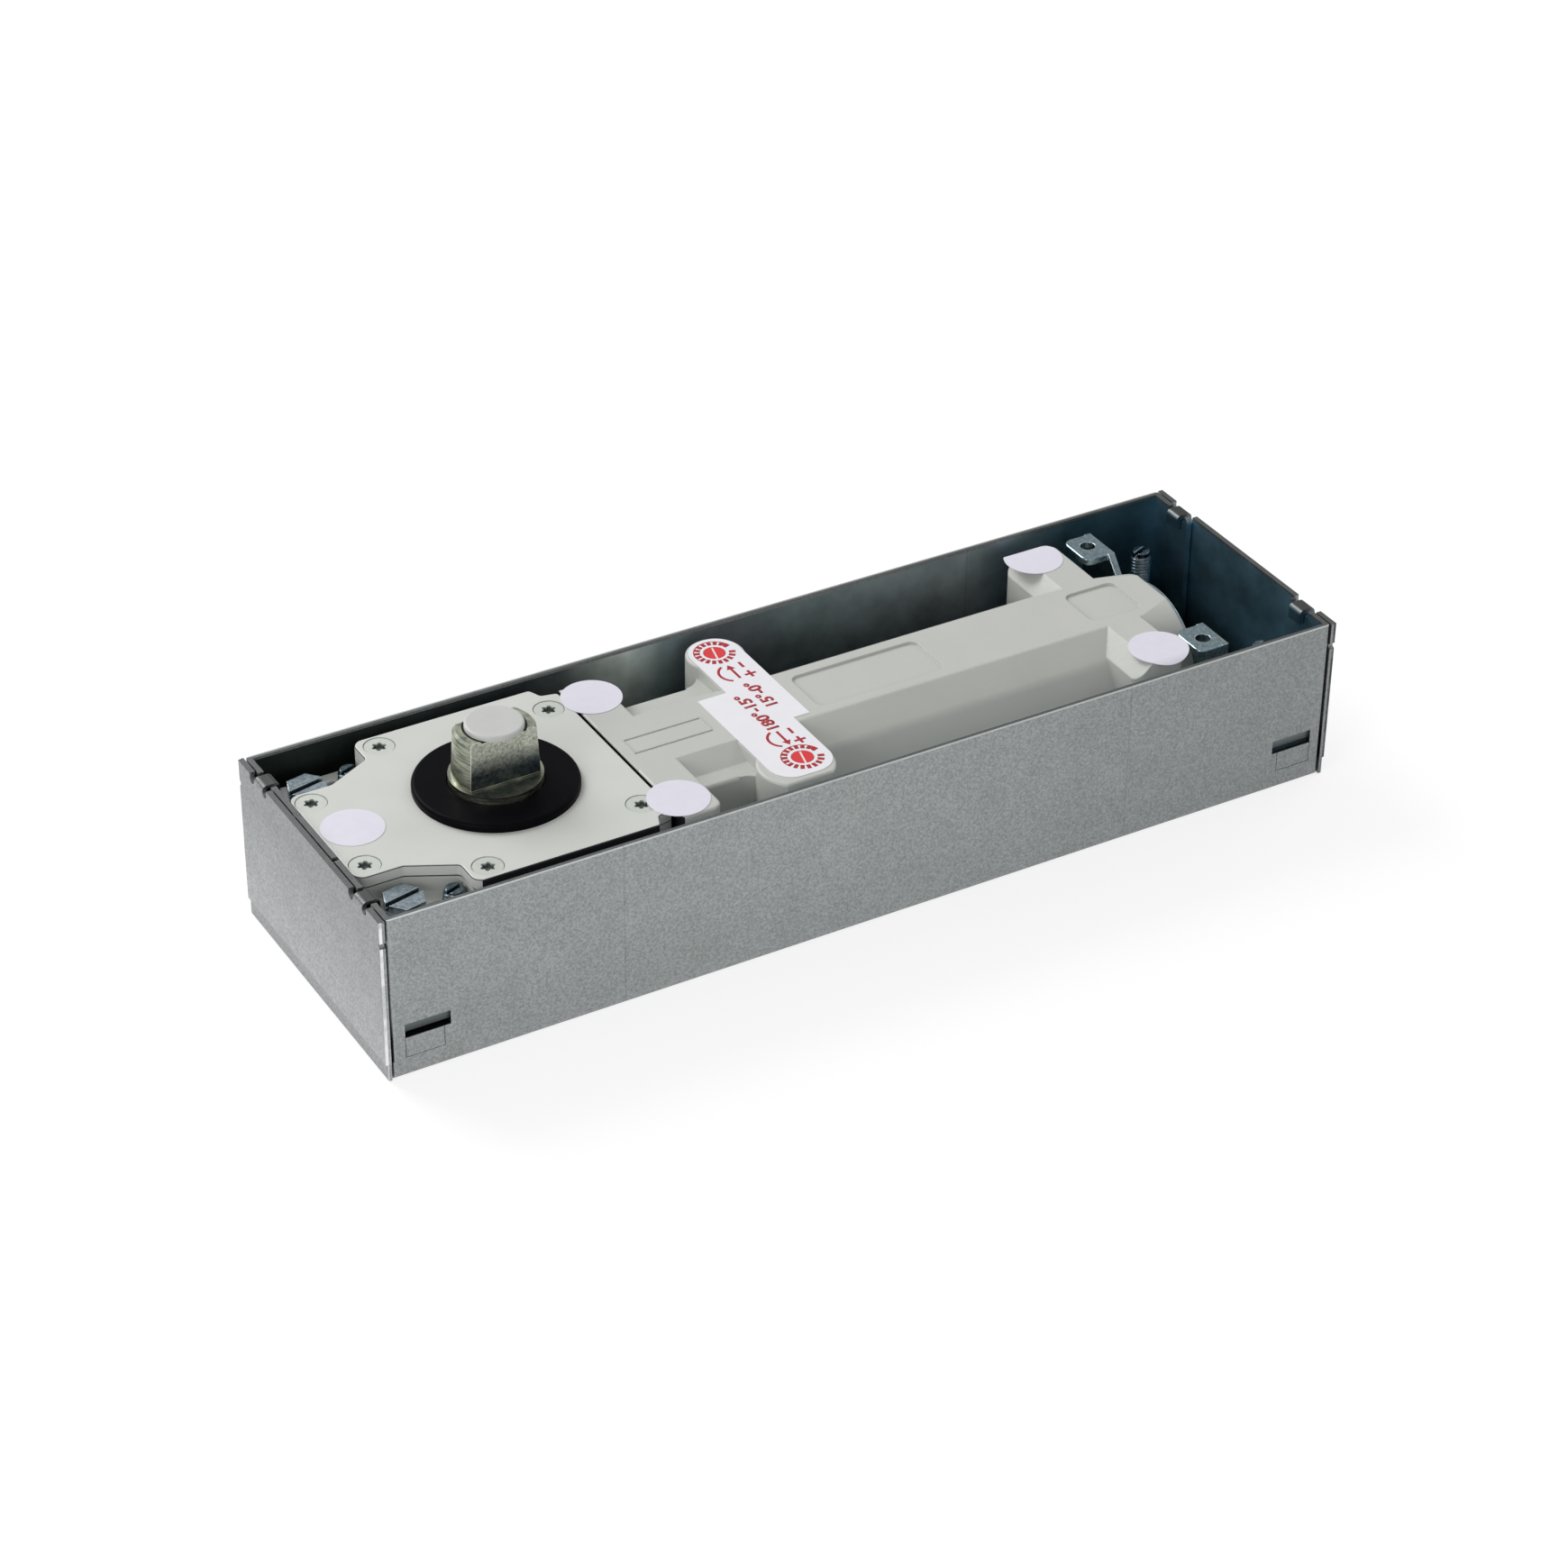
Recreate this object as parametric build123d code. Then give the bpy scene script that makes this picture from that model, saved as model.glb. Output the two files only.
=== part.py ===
from build123d import *
import math
import os

# A floor spring: a cam-action door closer that lies in a sheet-steel cement box under the threshold.
# Millimetres. The origin is at the middle of the box's underside, X runs along the box away from the
# spindle end, Y across it away from the front wall, and Z up.

os.makedirs("parts", exist_ok=True)

# Driving sizes
box_length = 285.0
box_width = 83.0
box_height = 48.0
sheet = 1.5
panel_gap = 0.4
spindle_inset = 52.7
mechanism_height = 24.0
cover_top = 47.0
spindle_turn_range = math.pi
piston_travel = 12.0

# Clearances
overrun = 1.0
running_fit = 0.05
seat_fit = 0.02
cam_clearance = 0.15

# Places shared by several pieces
end_face = box_length/2
wall_face = box_width/2
spindle_x = spindle_inset - end_face
flange_outer = end_face - sheet - panel_gap
flange_inner = flange_outer - sheet
wall_inner = wall_face - sheet
housing_bottom = 4.5
foot_top = 39.5
foot_thickness = 6.0
foot_bottom = foot_top - foot_thickness
housing_end_gap = 0.5
housing_start = -(flange_inner - housing_end_gap)
wall_gap = 4.0
shoulder_reach = 34.6
shoulder_length = 11.5
shoulder_back_inset = 3.6
block_half_width = wall_inner - wall_gap
shoulder_start = spindle_x + shoulder_reach
shoulder_end = shoulder_start + shoulder_length
cover_thickness = 3.0
gasket_thickness = 0.5
cover_bottom = cover_top - cover_thickness
gasket_bottom = cover_bottom - gasket_thickness
end_room = 31.8
round_end_length = 11.1
cross_block_length = 15.6
housing_end = end_face - end_room
cross_block_end = housing_end - round_end_length
cross_block_start = cross_block_end - cross_block_length
barrel_length = cross_block_start - shoulder_end
chamber_radius = 28.5
bore_radius = 16.0
pin_radius = 3.0
roller_radius = 8.0
roller_pitch = 23.0
roller_x = spindle_x + roller_pitch


def keep(shape, node):
    """Write one node's STEP file."""
    shape.label = node
    export_step(shape, f"parts/{node}.step")


def block(x_low, x_high, y_low, y_high, z_low, z_high):
    centre = Pos((x_low + x_high)/2, (y_low + y_high)/2, (z_low + z_high)/2)
    return centre * Box(x_high - x_low, y_high - y_low, z_high - z_low)


def rod(radius, z_low, z_high, x=0, y=0):
    return Pos(x, y, (z_low + z_high)/2) * Cylinder(radius, z_high - z_low)


def rod_x(radius, x_low, x_high, y=0, z=0):
    return Pos((x_low + x_high)/2, y, z) * Rot(0, 90, 0) * Cylinder(radius, x_high - x_low)


def rod_y(radius, y_low, y_high, x=0, z=0):
    return Pos(x, (y_low + y_high)/2, z) * Rot(90, 0, 0) * Cylinder(radius, y_high - y_low)


def tube(outer, inner, z_low, z_high, x=0, y=0):
    return rod(outer, z_low, z_high, x, y) - rod(inner, z_low - overrun, z_high + overrun, x, y)


def tube_x(outer, inner, x_low, x_high, y=0, z=0):
    return rod_x(outer, x_low, x_high, y, z) - rod_x(inner, x_low - overrun, x_high + overrun, y, z)


def slab(face, z_low, z_high):
    """A flat outline drawn at Z 0, raised from z_low to z_high."""
    return extrude(Pos(0, 0, z_low) * face, z_high - z_low)


def top_edges(shape, height):
    """The edges that lie wholly in the plane at one height."""
    tolerance = sheet/1000
    found = []
    for edge in shape.edges():
        low, high = edge.bounding_box().min.Z, edge.bounding_box().max.Z
        if abs(low - height) < tolerance and abs(high - height) < tolerance:
            found.append(edge)
    return found


def as_part(solids):
    return Compound(children=solids)


# Box shell: floor, long walls and end flanges bent from one galvanised sheet.
far_flange_width = 17.5
end_lip_half_width = 10.6
end_lip_gap = 0.3
near_flange_width = wall_face - end_lip_half_width - end_lip_gap
lug_width = 5.0
lug_inset = 12.2
lug_centre_y = wall_face - lug_inset
lug_side_gap = 1.25
lug_clearance = 0.15
window_inset = 5.5
window_length = 12.6
window_bottom = 11.5
window_top = 15.6
window_slit = 1.3
window_press = 0.9
tab_length = 10.6
tab_bottom = 5.7
tab_top = window_bottom
tab_end = 5.6
tab_gap = 0.15
shell_edge_radius = 0.4
flange_corner = 1.8


def box_flange(side, end, width):
    """One end flange: side is the wall's sign along Y, end is the sign along X."""
    x_low, x_high = sorted((end*flange_inner, end*flange_outer))
    y_low, y_high = sorted((side*wall_face, side*(wall_face - width)))
    flange = block(x_low, x_high, y_low, y_high, 0, box_height)
    top = top_edges(flange, box_height)
    inner_top = min(top, key=lambda edge: side*edge.center().Y)
    return fillet(inner_top, flange_corner)


def lug_notch(end, side):
    """Room in the flange's top edge for a lug of the end panel."""
    x_low, x_high = sorted((end*(flange_inner - overrun), end*(flange_outer + overrun)))
    half = lug_width/2 + lug_side_gap
    y = side*lug_centre_y
    return block(x_low, x_high, y - half, y + half, box_height - sheet - lug_clearance, box_height + overrun)


def wall_window(end, side):
    """The window cut for a lanced slot, and the strip of wall that is pressed inwards above it."""
    outer = end_face - window_inset
    x_low, x_high = sorted((end*outer, end*(outer - window_length)))
    y_low, y_high = sorted((side*(wall_inner - overrun), side*(wall_face + overrun)))
    cut = block(x_low, x_high, y_low, y_high, window_bottom, window_top)
    y_low, y_high = sorted((side*(wall_inner - window_press), side*(wall_face - window_press)))
    strip = block(x_low, x_high, y_low, y_high, window_bottom + window_slit, window_top)
    return cut, strip


def tab_window(end, side, gap):
    outer = end_face - tab_end
    x_low, x_high = sorted((end*(outer + gap), end*(outer - tab_length - gap)))
    y_low, y_high = sorted((side*(wall_inner - overrun), side*(wall_face + overrun)))
    return block(x_low, x_high, y_low, y_high, tab_bottom - gap, tab_top + gap)


def make_box_shell():
    shell = block(-flange_outer, flange_outer, -wall_face, wall_face, 0, box_height)
    reach = flange_outer + overrun
    shell -= block(-reach, reach, -wall_inner, wall_inner, sheet, box_height + overrun)
    for side in (-1, 1):
        shell += box_flange(side, -1, near_flange_width)
        shell += box_flange(side, 1, far_flange_width)
    shell += block(-flange_outer, -flange_inner, -end_lip_half_width, end_lip_half_width, 0, box_height)
    corners = [e for e in shell.edges().filter_by(Axis.Z)
               if abs(abs(e.center().Y) - wall_face) < shell_edge_radius]
    corners += [e for e in shell.edges().filter_by(Axis.X)
                if abs(abs(e.center().Y) - wall_face) < shell_edge_radius and e.center().Z < sheet]
    shell = fillet(corners, sheet - shell_edge_radius)
    for end in (-1, 1):
        for side in (-1, 1):
            cut, strip = wall_window(end, side)
            shell = shell - cut + strip
            shell -= lug_notch(end, side)
            shell -= tab_window(end, side, tab_gap)
            shell -= tab_path(end, side)
    return shell


# End panels: flat sheets outside the flanges, hooked over them by two lugs and held at the foot by two
# tongues, whose pressed tabs fill the windows in the long walls.
lug_drop = 4.2
lug_bend = 1.4
foot_joggle = 0.6
foot_joggle_height = 5.0
relief_radius = 0.8
relief_height = 41.0
tongue_margin = 0.6
tongue_gap = 0.1


def tab_path(end, side):
    """The slot in a flange's foot that a panel's tongue passes through."""
    x_low, x_high = sorted((end*(flange_inner - overrun), end*(flange_outer + overrun)))
    y_low, y_high = sorted((side*(wall_inner - sheet - 2*tongue_gap), side*wall_inner))
    margin = tongue_margin - tongue_gap
    return block(x_low, x_high, y_low, y_high, tab_bottom - margin, tab_top + margin)


def rolled_lug(end, y):
    """A narrow strip of the panel rolled over the flange, with its leg hanging inside the box."""
    leg_outer = flange_inner - lug_clearance
    half = lug_width/2
    x_low, x_high = sorted((end*end_face, end*(leg_outer - sheet)))
    lug = block(x_low, x_high, y - half, y + half, box_height - lug_drop, box_height)
    bends = [e for e in top_edges(lug, box_height) if abs(e.center().Y - y) < half/2]
    lug = fillet(bends, lug_bend)
    x_low, x_high = sorted((end*(end_face - sheet), end*leg_outer))
    return lug - block(x_low, x_high, y - half - overrun, y + half + overrun,
                       box_height - lug_drop - overrun, box_height - sheet)


def make_end_panel(end):
    panel_outer = end_face
    panel_inner = end_face - sheet
    x_low, x_high = sorted((end*panel_outer, end*panel_inner))
    panel = block(x_low, x_high, -wall_face, wall_face, 0, box_height)
    x_low, x_high = sorted((end*(panel_outer + overrun), end*(panel_outer - foot_joggle)))
    panel -= block(x_low, x_high, -wall_face - overrun, wall_face + overrun, -overrun, foot_joggle_height)
    for side in (-1, 1):
        y = side*lug_centre_y
        half = lug_width/2
        x_low, x_high = sorted((end*(panel_outer + overrun), end*(panel_inner - overrun)))
        panel -= block(x_low, x_high, y - half, y + half, box_height - lug_bend, box_height + overrun)
        panel += rolled_lug(end, y)
        for edge in (-1, 1):
            y_cut = y + edge*(half + lug_side_gap)
            panel -= rod_x(lug_side_gap, x_low, x_high, y_cut, box_height - lug_side_gap)
            panel -= block(x_low, x_high, y_cut - lug_side_gap, y_cut + lug_side_gap,
                           box_height - lug_side_gap, box_height + overrun)
        panel -= rod_x(relief_radius, x_low, x_high, side*wall_face, relief_height)
        y_low, y_high = sorted((side*(wall_inner - tongue_gap), side*(wall_inner - tongue_gap - sheet)))
        tongue_end = end_face - tab_end - tab_length
        x_low, x_high = sorted((end*panel_inner, end*tongue_end))
        panel += block(x_low, x_high, y_low, y_high, tab_bottom, tab_top)
        y_low, y_high = sorted((side*wall_face, side*(wall_inner - tongue_gap - sheet)))
        x_low, x_high = sorted((end*(end_face - tab_end), end*tongue_end))
        panel += block(x_low, x_high, y_low, y_high, tab_bottom, tab_top)
    return panel


# Bushes on the box floor that the clamp bolts screw into.
clamp_inset = 13.0
clamp_side_inset = 13.3
clamp_x = clamp_inset - end_face
clamp_y = wall_face - clamp_side_inset
clamp_thread_radius = 3.0
bush_radius = 5.8
bush_top = 16.0


def make_clamp_bushes():
    hole = clamp_thread_radius + running_fit
    return as_part([tube(bush_radius, hole, sheet, bush_top, clamp_x, side*clamp_y) for side in (-1, 1)])


# Spindle block outline, which the cover plate and its gasket share.
pocket_width = 15.2
pocket_deep_width = 8.8
pocket_knee = 16.5
pocket_length = 29.0
notch_length = 6.8
notch_floor_length = 5.3
notch_width = 3.7
lobe_width = 4.7
cover_gap = 0.8
pocket_edge_y = block_half_width - pocket_width
pocket_deep_y = block_half_width - pocket_deep_width
pocket_knee_x = pocket_knee - end_face
pocket_deep_x = pocket_length - end_face
notch_x = shoulder_start - notch_length
notch_floor_x = shoulder_start - notch_floor_length
notch_y = block_half_width - notch_width
lobe_y = block_half_width - lobe_width
cover_far_x = shoulder_start - cover_gap
end_corner_radius = 3.2
knee_radius = 2.0
deep_radius = 1.5
lobe_radius = 3.0
notch_radius = 1.2


def block_outline():
    """The outline of the spindle block from above, with its bolt pockets and corner notches."""
    corners = [
        (housing_start, pocket_edge_y, end_corner_radius),
        (pocket_knee_x, pocket_edge_y, knee_radius),
        (pocket_deep_x, pocket_deep_y, deep_radius),
        (pocket_deep_x, block_half_width, lobe_radius),
        (notch_x, block_half_width, notch_radius),
        (notch_floor_x, notch_y, notch_radius),
        (cover_far_x, lobe_y, notch_radius),
    ]
    mirrored = [(x, -y, radius) for x, y, radius in reversed(corners)]
    loop = corners + mirrored
    face = make_face(Polyline([(x, y) for x, y, _ in loop], close=True))
    for x, y, radius in loop:
        corner = face.vertices().sort_by_distance((x, y, 0))[0]
        face = fillet(corner, radius)
    return face


# Cover screws, M4 countersunk with a six-lobe recess.
cover_screw_x = [28.1, -18.0, -44.2]
cover_screw_inset = [10.6, 5.0, 20.3]
screw_head_radius = 4.0
screw_head_height = 2.3
screw_shank_radius = 2.0
screw_length = 14.0
screw_sink = 0.2
head_ring_gap = 0.2
head_ring_depth = 0.3
lobe_count = 6
recess_radius = 1.45
recess_lobe_radius = 0.55
recess_depth = 1.2


def cover_screw_places():
    places = []
    for x, inset in zip(cover_screw_x, cover_screw_inset):
        for side in (-1, 1):
            places.append((spindle_x + x, side*(block_half_width - inset)))
    return places


def countersink(x, y, gap):
    """A countersunk head's space, wider than the head by a gap, with a small step round the rim."""
    head_top = cover_top - screw_sink
    cone = Cone(screw_shank_radius + gap, screw_head_radius + gap, screw_head_height)
    room = Pos(x, y, head_top - screw_head_height/2) * cone
    return room + rod(screw_head_radius + head_ring_gap, head_top - head_ring_depth, cover_top + overrun, x, y)


def make_cover_screws():
    head_top = cover_top - screw_sink
    screws = []
    for x, y in cover_screw_places():
        cone = Cone(screw_shank_radius, screw_head_radius, screw_head_height)
        head = Pos(x, y, head_top - screw_head_height/2) * cone
        screw = head + rod(screw_shank_radius, head_top - screw_length, head_top - screw_head_height, x, y)
        recess = rod(recess_radius, head_top - recess_depth, head_top + overrun, x, y)
        for lobe in range(lobe_count):
            angle = 2*math.pi*lobe/lobe_count
            recess += rod(recess_lobe_radius, head_top - recess_depth, head_top + overrun,
                          x + recess_radius*math.cos(angle), y + recess_radius*math.sin(angle))
        screws.append(screw - recess)
    return as_part(screws)


# Spindle shaft, its bearings and seal.
journal_radius = 12.25
shaft_top = 51.2
shaft_collar_radius = 14.0
cam_thickness = 12.0
cam_bottom = mechanism_height - cam_thickness/2
cam_top = mechanism_height + cam_thickness/2
shaft_collar_bottom = 14.0
lower_journal_radius = 8.5
bearing_bottom = 7.5
bearing_width = 5.0
bearing_top = bearing_bottom + bearing_width
bearing_outer = 16.0
bearing_inner_land = 11.0
bearing_outer_land = 13.4
ball_radius = 1.9
ball_pitch = 12.2
ball_count = 12
needle_radius = 1.2
needle_count = 24
needle_pitch = journal_radius + running_fit + needle_radius
shell_inner = needle_pitch + needle_radius + seat_fit
shell_outer = 17.0
shell_bottom = 37.5
shell_top = 43.0
needle_end_gap = 0.6
seal_outer = 15.0
seal_top_gap = 0.2
seal_lip = 1.2
socket_radius = 8.5
socket_bottom = 36.0
end_screw_radius = 2.5
end_screw_bottom = 29.0
key_width = 5.0
key_height = 4.0
key_length = 9.0


def key_space(gap):
    """The parallel key between shaft and cam, on the side away from the roller."""
    x = spindle_x - journal_radius
    half = key_width/2 + gap
    low = mechanism_height - key_length/2 - gap
    high = mechanism_height + key_length/2 + gap
    return block(x - key_height/2 - gap, x + key_height/2 + gap, -half, half, low, high)


def make_spindle_shaft():
    shaft = rod(journal_radius, cam_bottom, shaft_top, spindle_x)
    shaft += rod(shaft_collar_radius, shaft_collar_bottom, cam_bottom, spindle_x)
    shaft += rod(lower_journal_radius, bearing_bottom, shaft_collar_bottom, spindle_x)
    shaft += rod(bearing_inner_land, bearing_top, shaft_collar_bottom, spindle_x)
    shaft -= rod(socket_radius, socket_bottom, shaft_top + overrun, spindle_x)
    shaft -= rod(end_screw_radius + seat_fit, end_screw_bottom, socket_bottom + overrun, spindle_x)
    return shaft - key_space(seat_fit)


def make_bearing_shell():
    return tube(shell_outer, shell_inner, shell_bottom, shell_top, spindle_x)


def ring_of(shape_at, count, pitch):
    """Copies of a shape round the spindle's axis."""
    solids = []
    for number in range(count):
        angle = 2*math.pi*number/count
        solids.append(shape_at(spindle_x + pitch*math.cos(angle), pitch*math.sin(angle)))
    return solids


def make_needles():
    low = shell_bottom + needle_end_gap
    high = shell_top - needle_end_gap
    return as_part(ring_of(lambda x, y: rod(needle_radius, low, high, x, y), needle_count, needle_pitch))


def bearing_groove():
    middle = (bearing_bottom + bearing_top)/2
    return Pos(spindle_x, 0, middle) * Torus(ball_pitch, ball_radius + running_fit)


def make_lower_outer_ring():
    return tube(bearing_outer, bearing_outer_land, bearing_bottom, bearing_top, spindle_x) - bearing_groove()


def make_lower_inner_ring():
    inner = lower_journal_radius + seat_fit
    return tube(bearing_inner_land, inner, bearing_bottom, bearing_top, spindle_x) - bearing_groove()


def make_balls():
    middle = (bearing_bottom + bearing_top)/2
    return as_part(ring_of(lambda x, y: Pos(x, y, middle) * Sphere(ball_radius), ball_count, ball_pitch))


def make_shaft_seal():
    low = shell_top + seat_fit
    high = cover_top - seal_top_gap
    seal = tube(seal_outer, journal_radius + running_fit, low, high, spindle_x)
    middle = (low + high)/2
    groove = tube(seal_outer - seal_lip, journal_radius + seal_lip, low - overrun, middle, spindle_x)
    return seal - groove


def make_cam_key():
    return key_space(0)


# Cam disc. The roller's centre follows r = roller_pitch + rise per radian x angle, and the disc's edge
# is that curve moved inwards by the roller's radius and the clearance.
cam_rise = piston_travel/spindle_turn_range
cam_point_count = 13


def cam_edge_point(angle):
    radius = roller_pitch + cam_rise*angle
    tilt = math.atan2(cam_rise, radius)
    inward = roller_radius + cam_clearance
    x = radius*math.cos(angle) - inward*math.cos(angle - tilt)
    y = radius*math.sin(angle) - inward*math.sin(angle - tilt)
    return (spindle_x + x, y)


def make_cam_disc():
    angles = [math.pi*step/(cam_point_count - 1) for step in range(cam_point_count)]
    points = [cam_edge_point(angle) for angle in angles]
    edge = Spline(points)
    tip_x = points[-1][0]
    notch_x_edge = points[0][0]
    base = Polyline([points[-1], (tip_x, -overrun), (notch_x_edge, -overrun), points[0]])
    half = slab(make_face([edge] + base.edges()), cam_bottom, cam_top)
    half &= block(tip_x - overrun, roller_x, 0, roller_pitch + piston_travel, cam_bottom, cam_top)
    cam = half + mirror(half, Plane.XZ)
    notch = rod(roller_radius + cam_clearance, cam_bottom - overrun, cam_top + overrun, roller_x)
    cam -= notch
    cam -= rod(journal_radius + seat_fit, cam_bottom - overrun, cam_top + overrun, spindle_x)
    return cam - key_space(seat_fit)


# Spindle end, its screw and cap.
end_base_radius = 11.4
end_tip_radius = 10.6
end_top = 65.0
flat_base_half = 5.9
flat_top_half = 5.4
end_chamfer = 0.7
stub_gap = 0.1
cap_radius = 7.7
cap_top = 66.4
cap_edge = 0.7
cap_stem_radius = 4.3
cap_stem_length = 2.0
end_screw_head_radius = 4.25
end_screw_head_height = 4.0
end_screw_head_top = 62.0
head_room = 0.25
hex_socket = 4.0
hex_depth = 2.5


def make_spindle_end():
    height = end_top - shaft_top
    end = Pos(spindle_x, 0, (shaft_top + end_top)/2) * Cone(end_base_radius, end_tip_radius, height)
    rim = top_edges(end, end_top)
    end = chamfer(rim, end_chamfer)
    reach = end_base_radius + overrun
    for side in (-1, 1):
        wedge = Polyline([
            (side*flat_base_half, shaft_top),
            (side*flat_top_half, end_top),
            (side*flat_top_half, end_top + overrun),
            (side*reach, end_top + overrun),
            (side*reach, shaft_top),
        ], close=True)
        cutter = extrude(Plane.YZ.offset(spindle_x - reach) * make_face(wedge), 2*reach)
        end -= cutter
    end += rod(socket_radius - running_fit, socket_bottom + stub_gap, shaft_top, spindle_x)
    end -= rod(end_screw_radius + stub_gap, socket_bottom, end_top + overrun, spindle_x)
    head_bottom = end_screw_head_top - end_screw_head_height
    end -= rod(end_screw_head_radius + head_room, head_bottom, end_top + overrun, spindle_x)
    return end


def make_end_screw():
    head_bottom = end_screw_head_top - end_screw_head_height
    screw = rod(end_screw_head_radius, head_bottom, end_screw_head_top, spindle_x)
    screw += rod(end_screw_radius, end_screw_bottom, head_bottom, spindle_x)
    hexagon = Pos(spindle_x, 0, 0) * RegularPolygon(hex_socket/2, 6, major_radius=False)
    return screw - slab(hexagon, end_screw_head_top - hex_depth, end_screw_head_top + overrun)


def make_cap():
    cap = rod(cap_radius, end_top, cap_top, spindle_x)
    cap = fillet(top_edges(cap, cap_top), cap_edge)
    return cap + rod(cap_stem_radius, end_top - cap_stem_length, end_top, spindle_x)


# Collar ring on the cover, round the shaft.
collar_radius = 21.6
collar_top = 49.2
collar_hole_gap = 0.35
collar_edge = 1.0


def make_collar():
    collar = rod(collar_radius, cover_top, collar_top, spindle_x)
    collar = fillet(top_edges(collar, collar_top), collar_edge)
    return collar - rod(journal_radius + collar_hole_gap, cover_top - overrun, collar_top + overrun, spindle_x)


# Cover plate with the bearing boss under it, and its gasket.
boss_radius = 21.0
boss_bottom = 37.2
cover_edge_radius = 0.5
gasket_inset = 0.3


def make_cover():
    cover = slab(block_outline(), cover_bottom, cover_top)
    cover = fillet(top_edges(cover, cover_top), cover_edge_radius)
    cover += rod(boss_radius, boss_bottom, cover_bottom, spindle_x)
    cover -= rod(shell_outer + seat_fit, boss_bottom - overrun, shell_top + seat_fit, spindle_x)
    cover -= rod(seal_outer + seat_fit, shell_top, cover_top + overrun, spindle_x)
    for x, y in cover_screw_places():
        cover -= countersink(x, y, running_fit)
        cover -= rod(screw_shank_radius + running_fit, cover_bottom - overrun, cover_top, x, y)
    return cover


def make_gasket():
    gasket = slab(offset(block_outline(), -gasket_inset), gasket_bottom, cover_bottom)
    gasket -= rod(chamber_radius, gasket_bottom - overrun, cover_bottom + overrun, spindle_x)
    for x, y in cover_screw_places():
        gasket -= rod(screw_shank_radius + running_fit, gasket_bottom - overrun, cover_bottom + overrun, x, y)
    return gasket


# Closer housing: one casting.
barrel_flat_half = 11.2
barrel_facet_half = 19.2
barrel_facet_drop = 5.6
barrel_facet_height = cover_top - barrel_facet_drop
barrel_half_width = 24.5
neck_facet_half = 16.8
neck_facet_drop = 3.6
neck_facet_height = cover_top - neck_facet_drop
neck_half = 22.0
neck_edge_drop = 3.8
neck_edge_height = cover_top - neck_edge_drop
neck_edge = 1.0
barrel_side_top = 32.0
barrel_side_bottom = 16.0
barrel_bottom_half = 17.0
end_cone_start = 25.6
end_cone_tip = 24.0
valve_reach_front = 28.2
valve_reach_back = 33.2
valve_inset_front = 14.75
valve_inset_back = 13.2
valve_front = (shoulder_end + valve_reach_front, valve_inset_front - wall_face)
valve_back = (shoulder_end + valve_reach_back, wall_face - valve_inset_back)
front_boss_radius = 10.4
front_boss_shift = (-2.8, -1.5)
front_arm_reach = (10.7, 7.6)
front_boss_flat = 9.35
back_boss_radius = 8.1
back_boss_shift = (0.1, -0.3)
back_arm_reach = (7.1, 7.3)
back_boss_flat = 9.0
gusset_radius = 5.0
cross_inset = 8.5
cross_half_width = wall_face - cross_inset
cross_chamfer = 4.8
corner_radius = 3.0
ledge_height = 38.0
casting_edge = 0.7
barrel_edge = 1.2
barrel_crest_edge = 1.6
barrel_facet_edge = 4.5
barrel_edge_radii = [barrel_edge, barrel_edge, barrel_edge, barrel_facet_edge, barrel_crest_edge]
name_plate_shares = (0.347, 0.65)
name_plate_half = 8.0
end_plate_reach = (2.6, 18.6)
end_plate_half = 7.6
plate_depth = 0.6
plate_corner = 2.4
name_frame_start = 2.9
name_frame_length = 22.9
name_frame_front = 4.4
name_frame_back = 2.6
name_frame_width = 0.35
name_frame_height = 0.25
foot_length = 29.5
foot_x_end = foot_length - end_face
foot_corner = 3.0
bolt_hole_gap = 0.3
level_near_inset = 25.7
level_near_side_inset = 11.0
level_near_x = level_near_inset - end_face
level_near_y = wall_face - level_near_side_inset
level_radius = 3.0
level_gap = 0.1
slot_width = 3.6
slot_reach_low = 7.6
slot_reach_high = 2.4
slot_x_low = level_near_x - slot_reach_low
slot_x_high = level_near_x - slot_reach_high
chamber_bottom = 11.5
valve_bore_radius = 2.95
valve_bore_bottom = 28.0
valve_seat_radius = 1.6
valve_seat_bottom = 21.0
port_radius = 1.5
plug_inset = 0.5
plug_length = 12.2
plug_start = housing_end - plug_inset - plug_length
port_end = 12.0


def rounded_block(x_low, x_high, half_width, z_low, z_high, radius):
    body = block(x_low, x_high, -half_width, half_width, z_low, z_high)
    return fillet(body.edges().filter_by(Axis.Z), radius)


def barrel_section():
    half = [
        (barrel_bottom_half, housing_bottom),
        (barrel_half_width, barrel_side_bottom),
        (barrel_half_width, barrel_side_top),
        (barrel_facet_half, barrel_facet_height),
        (barrel_flat_half, cover_top),
    ]
    loop = half + [(-y, z) for y, z in reversed(half)]
    section = make_face(Polyline(loop, close=True))
    for (y, z), radius in zip(half, barrel_edge_radii):
        corners = [v for side in (-1, 1) for v in section.vertices().sort_by_distance((side*y, z, 0))[:1]]
        section = fillet(corners, radius)
    return section


def valve_arm(place, boss_radius, shift, reach, flat):
    """A valve boss on its arm from the barrel, with a flat towards the box's wall."""
    x, y = place
    side = math.copysign(1, y)
    low = x - reach[0]
    high = x + reach[1]
    centre_x = x + shift[0]
    centre_y = y + shift[1]
    arm = Pos((low + high)/2, centre_y/2) * Rectangle(high - low, abs(centre_y))
    outline = arm + Pos(centre_x, centre_y) * Circle(boss_radius)
    limit = y + side*flat
    outline &= Pos(centre_x, limit/2) * Rectangle(2*(reach[0] + reach[1]), abs(limit))
    body = slab(outline, housing_bottom, cover_top)
    outer = [e for e in top_edges(body, cover_top) if side*e.center().Y > casting_edge]
    return fillet(outer, casting_edge)


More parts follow.
